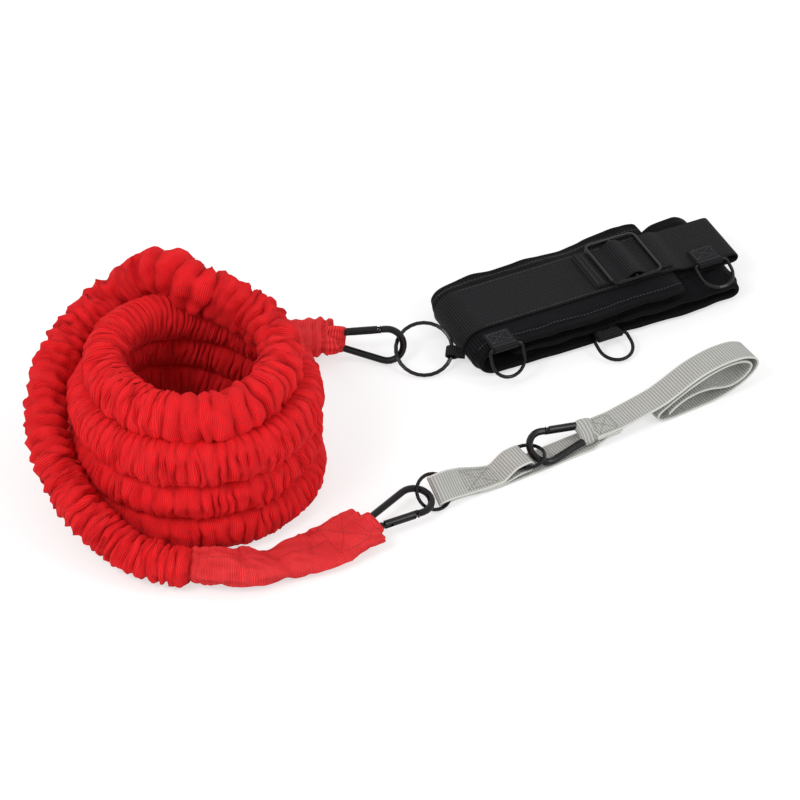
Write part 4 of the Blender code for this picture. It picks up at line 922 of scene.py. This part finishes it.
strap_place = placed(STRAP_PLACE, heading=STRAP_HEADING)
grey_webbing = woven("grey webbing", STRAP_WIDTH, 0.0024, (paint(138, 138, 134), paint(204, 204, 199)),
                     (paint(196, 196, 190), paint(222, 222, 217)), roughness=0.8, sheen_weight=0.15,
                     sheen_roughness=0.5, specular_ior_level=0.3)
grey_thread = sewing_thread("grey thread", paint(112, 110, 104), paint(168, 166, 158), roughness=0.75)

for piece, path, twist, sway, seed in (
    ("ring_strap", ring_strap_path(), strap_twist, 0.0003, 2.2),
    ("loop_strap", loop_strap_path(), None, 0.0005, 6.4),
):
    webbing = strap_mesh(path, STRAP_WIDTH, STRAP_THICKNESS, strap_place, twist, sway, seed)
    fit(f"{piece}_webbing", webbing, "anchor_strap", grey_webbing, [piece])


def strap_lines(corners, height, twist):
    """Lines of stitches on a strap, from runs and sides, at a height above its middle layer."""
    lines = []
    for line in corners:
        run, side = shared_line(line).T
        angle, lift = twist(run)
        place = np.stack([run, side * np.cos(angle) - height * np.sin(angle),
                          side * np.sin(angle) + height * np.cos(angle) + lift], axis=1)
        lines.append(moved(place, strap_place))
    return lines


def level_at(height):
    return lambda run: (0.0 * run, 0.0 * run + height)


ring_box = crossed_box(*STRAP_BOX, STRAP_BOX_HALF)
row_runs = [ROW_START + ROW_SPACING * number for number in range(ROWS)]
ring_rows = [[(run, -ROW_HALF), (run, ROW_HALF)] for run in row_runs]
ring_lines = strap_lines([*ring_box, *ring_rows], STRAP_LAYER + STRAP_THICKNESS / 2, strap_twist)
fit("ring_strap_stitches", stitches(ring_lines), "anchor_strap", grey_thread)
sewn_box = crossed_box(*(SEWN_START + run for run in SEWN_BOX), STRAP_BOX_HALF)
sewn_lines = strap_lines(sewn_box, 0.0, level_at(RAISED_HEIGHT + STRAP_THICKNESS + GAP / 2))
fit("loop_strap_stitches", stitches(sewn_lines), "anchor_strap", grey_thread)

strap_hook_place = strap_place @ placed((SEWN_START - HOOK_SETBACK, 0.0015, RAISED_HEIGHT), 151, -2, 180)
fit("loop_strap_neck", neck_mesh(strap_hook_place, -0.0016, 5.2), "anchor_strap", grey_webbing)


# Belt pad. A band of black ribbed cloth over soft foam, 97 mm wide, bound along its edges
# and folded in three: on the inside, underneath, and on top.

BELT_HEADING = 25
BELT_PLACE = (-0.01719, 0.07745, 0.0)
PAD_WIDTH = 0.097
PAD_FACE = 0.0040
PAD_PLUMP_FACE = 0.0053
PAD_ROUND = 0.0036
PAD_LEVELS = (0.0043, 0.0157, 0.0267)
PAD_LENGTH = 0.244
PAD_TOP_LENGTH = 0.191
PAD_INNER_START = 0.030
PAD_SPACING = 0.0030
PAD_SIDES = (
    0.0449, 0.0433, 0.0416, 0.0404, 0.0393, 0.0382, 0.0370, 0.0352, 0.0330, 0.0300, 0.0265, 0.0200, 0.0130, 0.0045,
)
PAD_SEAM = 0.0393
PAD_SEAM_DEPTH = 0.0011
PAD_SEAM_LIFT = 0.0001
PAD_EDGE_THINNED = 0.0026
PAD_EDGE_DRAW = 0.0030
PAD_EDGE_RIPPLE = 0.0010
PAD_END_ROUND = 0.004
PAD_END_TAPER = 0.012
PAD_LEAST = 0.0004
PAD_LAYER_REACH = (0.001, 0.003)
PAD_CURL = 0.0070
PAD_CURL_SIDE = 0.031
PAD_CURL_START = 0.120
PAD_CURL_RUN = 0.070
# Middle, reach and ease, along the band, of a smaller curl and of the hump over the fold
PAD_SECOND_CURL = 0.0030
PAD_SECOND_PLACE = (0.060, 0.020, 0.030)
PAD_HUMP = 0.0078
PAD_HUMP_PLACE = (0.216, 0.010, 0.017)
PUFF_FRAMES = 20
PUFF_PRESSURE = 4.0
FOLD_BULGE = 0.0020
WEBBING_WIDTH = 0.054
WEBBING_THICKNESS = 0.0016
WEBBING_SIDE = 0.004
PAD_SWELL_LIMIT = 0.0011
FRONT_TAB_RUN = 0.021
FRONT_TAB_REACH = (0.013, 0.005)
LOWER_TAB_RUN = 0.116
LOWER_TAB_REACH = (0.012, 0.005)

belt_place = placed(BELT_PLACE, heading=BELT_HEADING)
lower_level, middle_level, top_level = PAD_LEVELS
fold_radius = (top_level - lower_level) / 2
fold_run = fold_radius + PAD_FACE
fold_height = (top_level + lower_level) / 2
inner_radius = (middle_level - lower_level) / 2
right_run = PAD_LENGTH - inner_radius - PAD_FACE


def bulged(path):
    """The same path, with the fold on the left pressed outwards."""
    path = np.asarray(path, float)
    path[:, 0] -= FOLD_BULGE * smooth_step((fold_run - path[:, 0]) / fold_radius)
    return path


def pad_path():
    path = [(PAD_INNER_START, middle_level), *arc(right_run, lower_level + inner_radius, inner_radius, 90, -90, 10)]
    path += [*bulged(arc(fold_run, fold_height, fold_radius, 270, 90, 14)), (PAD_TOP_LENGTH, top_level)]
    return softened(path, PAD_SPACING, 1)


def close_to(values, middle, reach, ease):
    """1 within reach of the middle, with a smooth fall to 0."""
    return 1 - smooth_step((np.abs(values - middle) - reach) / ease)


def pad_grid(path):
    """Rings over the padded band, sewn down along its edges, and how free each point is to swell."""
    half = PAD_WIDTH / 2
    turn = np.radians((-67.5, -45, -22.5, 0, 22.5, 45, 67.5))
    flat = np.array([*PAD_SIDES, *[-side for side in PAD_SIDES[::-1]]])
    edge = [(half - PAD_ROUND + PAD_ROUND * cos(a), sin(a)) for a in turn]
    top, bottom = [(y, 1.0) for y in flat], [(y, -1.0) for y in -flat]
    section = np.array([*edge, *top, *[(-y, -z) for y, z in edge], *bottom])
    distances = lengths_along(path)
    steps, normal = path_directions(path)
    run, level = path[:, :1], path[:, 1:]
    side, up = section[None, :, 0] + 0 * run, section[None, :, 1] + 0 * run
    size, hand = np.abs(side), np.sign(side)
    low_layer, middle_layer, top_layer = (close_to(level, layer, *PAD_LAYER_REACH) for layer in PAD_LEVELS)
    middle_layer, top_layer = middle_layer * (steps[:, :1] > 0), top_layer * (steps[:, :1] > 0)
    at_front_tab = close_to(run, FRONT_TAB_RUN, *FRONT_TAB_REACH) * (side < 0) * top_layer
    at_lower_tab = close_to(run, LOWER_TAB_RUN, *LOWER_TAB_REACH) * (side < 0) * (1 - top_layer)
    outside = np.abs(side - WEBBING_SIDE) > WEBBING_WIDTH / 2 + 0.0015
    plump = smooth_step((np.abs(side - WEBBING_SIDE) - 0.0285) / 0.006)
    plump = plump * np.where(up > 0, middle_layer, 1.0) * (1 - at_lower_tab)
    face = mix(PAD_FACE, PAD_PLUMP_FACE, plump)
    thin = PAD_EDGE_THINNED * smooth_step((size - PAD_SEAM) / 0.0030) * (1 - at_front_tab)
    groove = PAD_SEAM_DEPTH * np.exp(-((size - PAD_SEAM) / 0.0012) ** 2) * (1 - at_front_tab)
    along = distances[:, None]
    pucker = 1 + 0.9 * rumple(along / 0.009, hand * 2.0, 0.0, seed=7.7)
    through = np.sign(up) * np.maximum(np.abs(up) * face - (thin + groove * pucker) * np.abs(up), PAD_LEAST)
    wave = 0.5 + rumple(along / 0.042, hand * 2.0, 0.0, seed=4.4)
    wave = wave + 0.45 * rumple(along / 0.016, hand * 2.0, 0.0, seed=6.1)
    side = side - hand * PAD_EDGE_DRAW * np.clip(wave, 0, 1.2) * (size / half) ** 3
    ends = np.minimum(along, distances[-1] - along)
    pinch = np.sqrt(np.clip(1 - (1 - np.clip(ends / PAD_END_ROUND, 0, 1)) ** 2, 0.06, 1))
    corner = np.clip(1 - ends / PAD_END_TAPER, 0, 1) ** 2
    side = side * (1 - 0.06 * corner)
    through = through * pinch
    ripple = PAD_EDGE_RIPPLE * rumple(along / 0.026, hand * 1.3, 0.0, seed=2.9)
    ripple = ripple * smooth_step((size - 0.032) / 0.010) * (1 - low_layer)
    ripple = ripple * (1 - at_front_tab) * (1 - at_lower_tab)
    far_edge = smooth_step((side - PAD_CURL_SIDE) / 0.017) * top_layer
    curl = PAD_CURL * smooth_step((run - PAD_CURL_START) / PAD_CURL_RUN) * far_edge
    curl = curl + PAD_SECOND_CURL * close_to(run, *PAD_SECOND_PLACE) * far_edge
    hump = PAD_HUMP * close_to(run, *PAD_HUMP_PLACE) * smooth_step((side - PAD_CURL_SIDE) / 0.014)
    height = level + normal[:, None, 1] * through + ripple + curl + hump * middle_layer
    grid = np.stack([run + normal[:, None, 0] * through, side, height], axis=-1)
    free = smooth_step(np.abs(size - PAD_SEAM) / 0.0025) * (1 - at_front_tab) * (1 - at_lower_tab)
    free = free * np.where((up > 0) & (top_layer > 0), outside, 1.0)
    return grid, distances, section, free


def puff(mesh, held):
    """Let the foam press against the cloth, with the sewn places held, and keep the result in the mesh."""
    work = bpy.data.objects.new("puff", mesh)
    bpy.context.scene.collection.objects.link(work)
    group = work.vertex_groups.new(name="held")
    for strength in np.unique(held):
        group.add(np.flatnonzero(held == strength).tolist(), float(strength), "REPLACE")
    cloth = work.modifiers.new("cloth", "CLOTH")
    cloth.settings.quality = 4
    cloth.settings.mass = 0.2
    cloth.settings.tension_stiffness = 15
    cloth.settings.compression_stiffness = 15
    cloth.settings.bending_stiffness = 0.5
    cloth.settings.vertex_group_mass = "held"
    cloth.settings.use_pressure = True
    cloth.settings.uniform_pressure_force = PUFF_PRESSURE
    cloth.settings.effector_weights.gravity = 0.0
    cloth.point_cache.frame_end = PUFF_FRAMES
    for number in range(1, PUFF_FRAMES + 1):
        bpy.context.scene.frame_set(number)
    shaped = work.evaluated_get(bpy.context.evaluated_depsgraph_get())
    found = np.array([point.co for point in shaped.data.vertices], float)
    bpy.data.objects.remove(work, do_unlink=True)
    bpy.context.scene.frame_set(1)
    return found


def finish_pad():
    """The pad's mesh in its place on the object, and the lines of stitches along its top layer."""
    path = pad_path()
    grid, distances, section, free = pad_grid(path)
    rest = grid.reshape(-1, 3)
    mesh = skin(grid, distances, np.append(section[:, 0], section[0, 0]))
    pushed = puff(mesh.copy(), np.round(1 - free.ravel(), 1)) - rest
    size = np.linalg.norm(pushed, axis=1)[:, None]
    rest = rest + pushed * np.minimum(1.0, PAD_SWELL_LIMIT / np.maximum(size, 1e-9)) * free.reshape(-1, 1)
    points = moved(rest, belt_place)
    points[:, 2] = np.maximum(points[:, 2], GAP)
    mesh.vertices.foreach_set("co", points.astype(np.float32).ravel())
    face_outwards(mesh)
    columns = np.flatnonzero(np.isclose(np.abs(section[:, 0]), PAD_SEAM, atol=0.0001) & (section[:, 1] > 0))
    rows = [row for row in range(len(path) // 2 + 1, len(path)) if path[row, 1] > top_level - PAD_FACE]
    seams = [points.reshape(grid.shape)[rows, column] + np.array((0, 0, PAD_SEAM_LIFT)) for column in columns]
    return mesh, seams


def apply_subdivision(piece):
    bpy.ops.object.select_all(action="DESELECT")
    bpy.context.view_layer.objects.active = piece
    piece.select_set(True)
    modifier = piece.modifiers.new("smooth", "SUBSURF")
    modifier.levels = modifier.render_levels = 1
    bpy.ops.object.modifier_apply(modifier=modifier.name)
    piece.select_set(False)


black_cloth = woven("black ribbed cloth", PAD_WIDTH, 0.0021, (paint(1, 1, 3), paint(19, 19, 22)),
                    (paint(3, 3, 5), paint(12, 12, 14)), 0.0042, roughness=0.9, sheen_weight=0.03,
                    sheen_roughness=0.4, specular_ior_level=0.1)
pad_mesh, pad_seams = finish_pad()
pad = fit("belt_pad_cloth", pad_mesh, "belt", black_cloth, ["belt_pad"])
apply_subdivision(pad)


# Belt webbing. Black nylon webbing of 54 mm, sewn along both edges to the top of the pad.
# It wraps the left fold, runs past the pad's end, and folds back between the layers.

STEP_DOWN = 0.0028
STEP_RUN = 0.009
WEBBING_REACH = 0.251
WEBBING_RETURN = 0.150
RETURN_LIFT = 0.0015
WRAP_END = 200
WRAP_DRAW = 0.0007
EDGE_ROW_START = 0.018
EDGE_ROW_END = PAD_TOP_LENGTH - 0.004
EDGE_ROW_SIDE = 0.0247
webbing_level = top_level + PAD_FACE + GAP + WEBBING_THICKNESS / 2
step_level = webbing_level - STEP_DOWN
webbing_top = webbing_level + WEBBING_THICKNESS / 2


def webbing_path():
    wrap = fold_radius + PAD_FACE + GAP + WEBBING_THICKNESS / 2
    returned = middle_level + PAD_FACE + RETURN_LIFT
    end_radius = (step_level - returned) / 2
    end_run = WEBBING_REACH - end_radius - WEBBING_THICKNESS / 2
    pad_end = PAD_TOP_LENGTH + WEBBING_THICKNESS
    wrapped = bulged(arc(fold_run, fold_height, wrap, WRAP_END, 90, 18))
    wrapped[:, 0] += WRAP_DRAW * smooth_step((fold_run - wrapped[:, 0]) / wrap)
    path = [*wrapped.tolist(), (pad_end, webbing_level), (pad_end + STEP_RUN, step_level)]
    path += arc(end_run, step_level - end_radius, end_radius, 90, -90, 10)
    return softened([*path, (WEBBING_RETURN, returned)])


black_nylon = dict(roughness=0.8, sheen_weight=0.05, sheen_roughness=0.35, specular_ior_level=0.15)
black_webbing = woven("black webbing", WEBBING_WIDTH, 0.0021, (paint(2, 2, 4), paint(35, 35, 37)),
                      (paint(6, 6, 8), paint(18, 18, 20)), 0.0018, **black_nylon)
black_thread = sewing_thread("black thread", paint(24, 24, 27), paint(52, 52, 56), roughness=0.6)

webbing_place = belt_place @ Matrix.Translation((0, WEBBING_SIDE, 0))
belt_webbing = strap_mesh(webbing_path(), WEBBING_WIDTH, WEBBING_THICKNESS, webbing_place, sway=0.0004, seed=9.1)
fit("belt_webbing_cloth", belt_webbing, "belt", black_webbing, ["belt_webbing"])
edge_rows = [moved(line_of([(run, side, webbing_top) for run in (EDGE_ROW_START, EDGE_ROW_END)]), webbing_place)
             for side in (-EDGE_ROW_SIDE, EDGE_ROW_SIDE)]
fit("belt_webbing_stitches", stitches(edge_rows), "belt", black_thread)
fit("belt_pad_stitches", stitches(pad_seams), "belt", black_thread)


# Belt slider. A flat frame of 3.2 mm steel wire with a bar across its middle, painted
# black. The end of the belt's strap is threaded up over the bar and hemmed.

set_finish("belt_slider", black_metal)

SLIDER_RUN = 0.157
SLIDER_WIRE = 0.0032
STRAP_END_WIDTH = 0.046
STRAP_END_THICKNESS = 0.0014
STRAP_END_RUNS = (-0.036, 0.034)
STRAP_END_SLOPE = 0.009
HEM_TURN = (-0.0358, -0.0354)
HEM_EDGE = -0.0270
HEM_ROWS = (-0.0290, -0.0330)
HEM_ROW_HALF = 0.0205
strap_end_level = webbing_top + GAP + STRAP_END_THICKNESS / 2
bar_level = strap_end_level + STRAP_END_THICKNESS / 2 + GAP + SLIDER_WIRE / 2
over_bar = bar_level + SLIDER_WIRE / 2 + GAP + STRAP_END_THICKNESS / 2


def strap_end_path():
    rise = [(STRAP_END_SLOPE * (1.2 - share), mix(strap_end_level, over_bar, smooth_step(share)))
            for share in (0.0, 0.25, 0.5, 0.75, 1.0)]
    near_end, far_end = ((run, strap_end_level) for run in STRAP_END_RUNS)
    return softened([near_end, *[(-run, height) for run, height in rise], *rise[::-1], far_end], 0.0010)


slider_place = belt_place @ Matrix.Translation((SLIDER_RUN, WEBBING_SIDE, 0))
strap_end = strap_mesh(strap_end_path(), STRAP_END_WIDTH, STRAP_END_THICKNESS, slider_place)
fit("strap_end_webbing", strap_end, "slider", black_webbing, ["strap_end"])
hem_level = strap_end_level + STRAP_END_THICKNESS
hem_path = [(HEM_TURN[0], strap_end_level + 0.0004), (HEM_TURN[1], hem_level), (HEM_EDGE, hem_level)]
hem = strap_mesh(softened(hem_path, 0.0008, 1), STRAP_END_WIDTH - 0.0004, STRAP_END_THICKNESS, slider_place)
fit("strap_end_hem", hem, "slider", black_webbing)
hem_top = hem_level + STRAP_END_THICKNESS / 2
hem_rows = [moved(line_of([(run, side, hem_top) for side in (-HEM_ROW_HALF, HEM_ROW_HALF)]), slider_place)
            for run in HEM_ROWS]
fit("strap_end_stitches", stitches(hem_rows), "slider", black_thread)


# D-rings. Three rings of 3 mm wire, painted black, each held by a tab of narrow webbing
# that is folded round its bar and sewn down: two on top and one between the layers.

D_RING_WIRE = 0.0030
TAB_WIDTH = 0.022
TAB_THICKNESS = 0.0012
TAB_RUN = 0.020
TAB_BOX = (0.002, 0.0060)
TAB_BOX_HALF = 0.0085
SIDE_TAB_RUN = 0.222

narrow_webbing = woven("narrow black webbing", TAB_WIDTH, 0.0016, (paint(7, 7, 8), paint(36, 36, 39)),
                       (paint(14, 14, 16), paint(26, 26, 28)), 0.0012, **black_nylon)


def make_tab(name, run, bar, level):
    """A tab folded round a D-ring's bar, square to the belt, with a box of stitches on it."""
    place = belt_place @ placed((run, 0, 0), heading=-90)
    layer = (TAB_THICKNESS + GAP) / 2
    radius = (D_RING_WIRE + TAB_THICKNESS) / 2 + GAP
    neck, end = bar - radius * 1.5, bar - TAB_RUN
    path = [(end, level - layer), (neck, level - layer), *arc(bar, level, radius, -150, 150, 20),
            (neck, level + layer), (end, level + layer)]
    mesh = strap_mesh(softened(path, 0.0007, 1), TAB_WIDTH, TAB_THICKNESS, place)
    fit(f"{name}_webbing", mesh, "belt", narrow_webbing, [name])
    top = level + layer + TAB_THICKNESS / 2
    box = crossed_box(end + TAB_BOX[0], bar - TAB_BOX[1], TAB_BOX_HALF)
    lines = [moved(line_of([(a, b, top) for a, b in corners]), place) for corners in box]
    fit(f"{name}_stitches", stitches(lines), "belt", black_thread)


tab_half = GAP / 2 + TAB_THICKNESS
tab_loop = D_RING_WIRE / 2 + GAP + TAB_THICKNESS
beside_pad = PAD_WIDTH / 2 + GAP + tab_loop
beside_webbing = WEBBING_WIDTH / 2 - WEBBING_SIDE + GAP + tab_loop
make_tab("front_d_ring_tab", FRONT_TAB_RUN, beside_pad, top_level + PAD_FACE + GAP + tab_half)
make_tab("side_d_ring_tab", SIDE_TAB_RUN, beside_webbing, step_level + WEBBING_THICKNESS / 2 + GAP + tab_half)
make_tab("lower_d_ring_tab", LOWER_TAB_RUN, beside_pad, (lower_level + middle_level) / 2)
for ring in ("front_d_ring", "side_d_ring", "lower_d_ring"):
    set_finish(ring, black_metal)


# Back ring loop. A short loop of narrow black webbing that ties the large ring to the fold
# of the belt, with its two ends sewn together against the belt's webbing.

TIE_WIDTH = 0.0088
TIE_THICKNESS = 0.0016
TIE_RADIUS = 0.00465
TIE_NECK = (0.0050, 0.0010)
TIE_END = (0.0108, 0.0008)
BACK_RING_SIDE = 0.0398

back_ring_place = placed((-0.05846, 0.06212, 0.01493), 29, 4, -6)
tie_place = back_ring_place @ Matrix.Translation((BACK_RING_SIDE, 0, 0))
tie_ends = [(run, -height) for run, height in (TIE_END, TIE_NECK)]
tie_path = [*tie_ends, *arc(0, 0, TIE_RADIUS, -25, -335, 34), TIE_NECK, TIE_END]
tie = strap_mesh(softened(tie_path, 0.0006, 1), TIE_WIDTH, TIE_THICKNESS, tie_place)
fit("back_ring_loop_webbing", tie, "belt", narrow_webbing, ["back_ring_loop"])


# Floor and light. A plain white floor that keeps the object's shadow, under a bright sky
# with a large soft lamp on the left and a weaker one on the right.

FLOOR_GLOW = 0.22
FLOOR_WHITE_SHARE = 0.50
SKY_STRENGTH = 0.72
LAMP_TARGET = (-0.05, 0, 0.03)


def grey(share):
    return share, share, share, 1.0


bpy.ops.mesh.primitive_plane_add(size=8, location=(0, 0, 0))
floor = bpy.context.active_object
floor.name = "floor"
floor_finish = Finish("white floor", roughness=0.9, specular_ior_level=0.1)
floor_finish.colour(floor_finish.tone(floor_finish.speckle(0.5), grey(0.90), grey(0.92)))
seen = floor_finish.node("ShaderNodeLightPath", out="Is Camera Ray")
white = floor_finish.node("ShaderNodeEmission", {}, {"Color": grey(1.0), "Strength": 1.0})
glow = floor_finish.node("ShaderNodeEmission", {}, {"Color": grey(FLOOR_GLOW), "Strength": 1.0})
plain = Value(floor_finish, floor_finish.shader.outputs[0])
glowing = floor_finish.node("ShaderNodeAddShader", {}, {0: plain, 1: glow})
lifted = floor_finish.node("ShaderNodeMixShader", {}, {0: seen, 1: plain, 2: glowing})
floor_finish.show(floor_finish.node("ShaderNodeMixShader", {}, {0: seen * FLOOR_WHITE_SHARE, 1: lifted, 2: white}))
floor.data.materials.append(floor_finish.material)

world = bpy.data.worlds.new("sky")
bpy.context.scene.world = world
sky = Graph(world)
by_camera, by_gloss, by_glass = (sky.node("ShaderNodeLightPath", out=f"Is {ray} Ray")
                                 for ray in ("Camera", "Glossy", "Transmission"))
dim, bright = (sky.node("ShaderNodeBackground", {}, {"Color": grey(1.0), "Strength": strength})
               for strength in (SKY_STRENGTH, 1.0))
looked_at = by_camera.maths("MAXIMUM", by_camera.maths("MAXIMUM", by_camera, by_gloss), by_glass)
sky.show(sky.node("ShaderNodeMixShader", {}, {0: looked_at, 1: dim, 2: bright}))


def lamp(name, place, size, power):
    light = bpy.data.lights.new(name, "AREA")
    light.size = size
    light.energy = power
    holder = bpy.data.objects.new(name, light)
    holder.location = place
    holder.rotation_euler = (Vector(LAMP_TARGET) - Vector(place)).to_track_quat("-Z", "Y").to_euler()
    bpy.context.scene.collection.objects.link(holder)


lamp("left_lamp", (-1.3, -1.1, 1.9), 0.8, 19)
lamp("right_lamp", (1.5, -0.7, 1.5), 0.6, 8)

bpy.context.scene.view_settings.view_transform = "Standard"
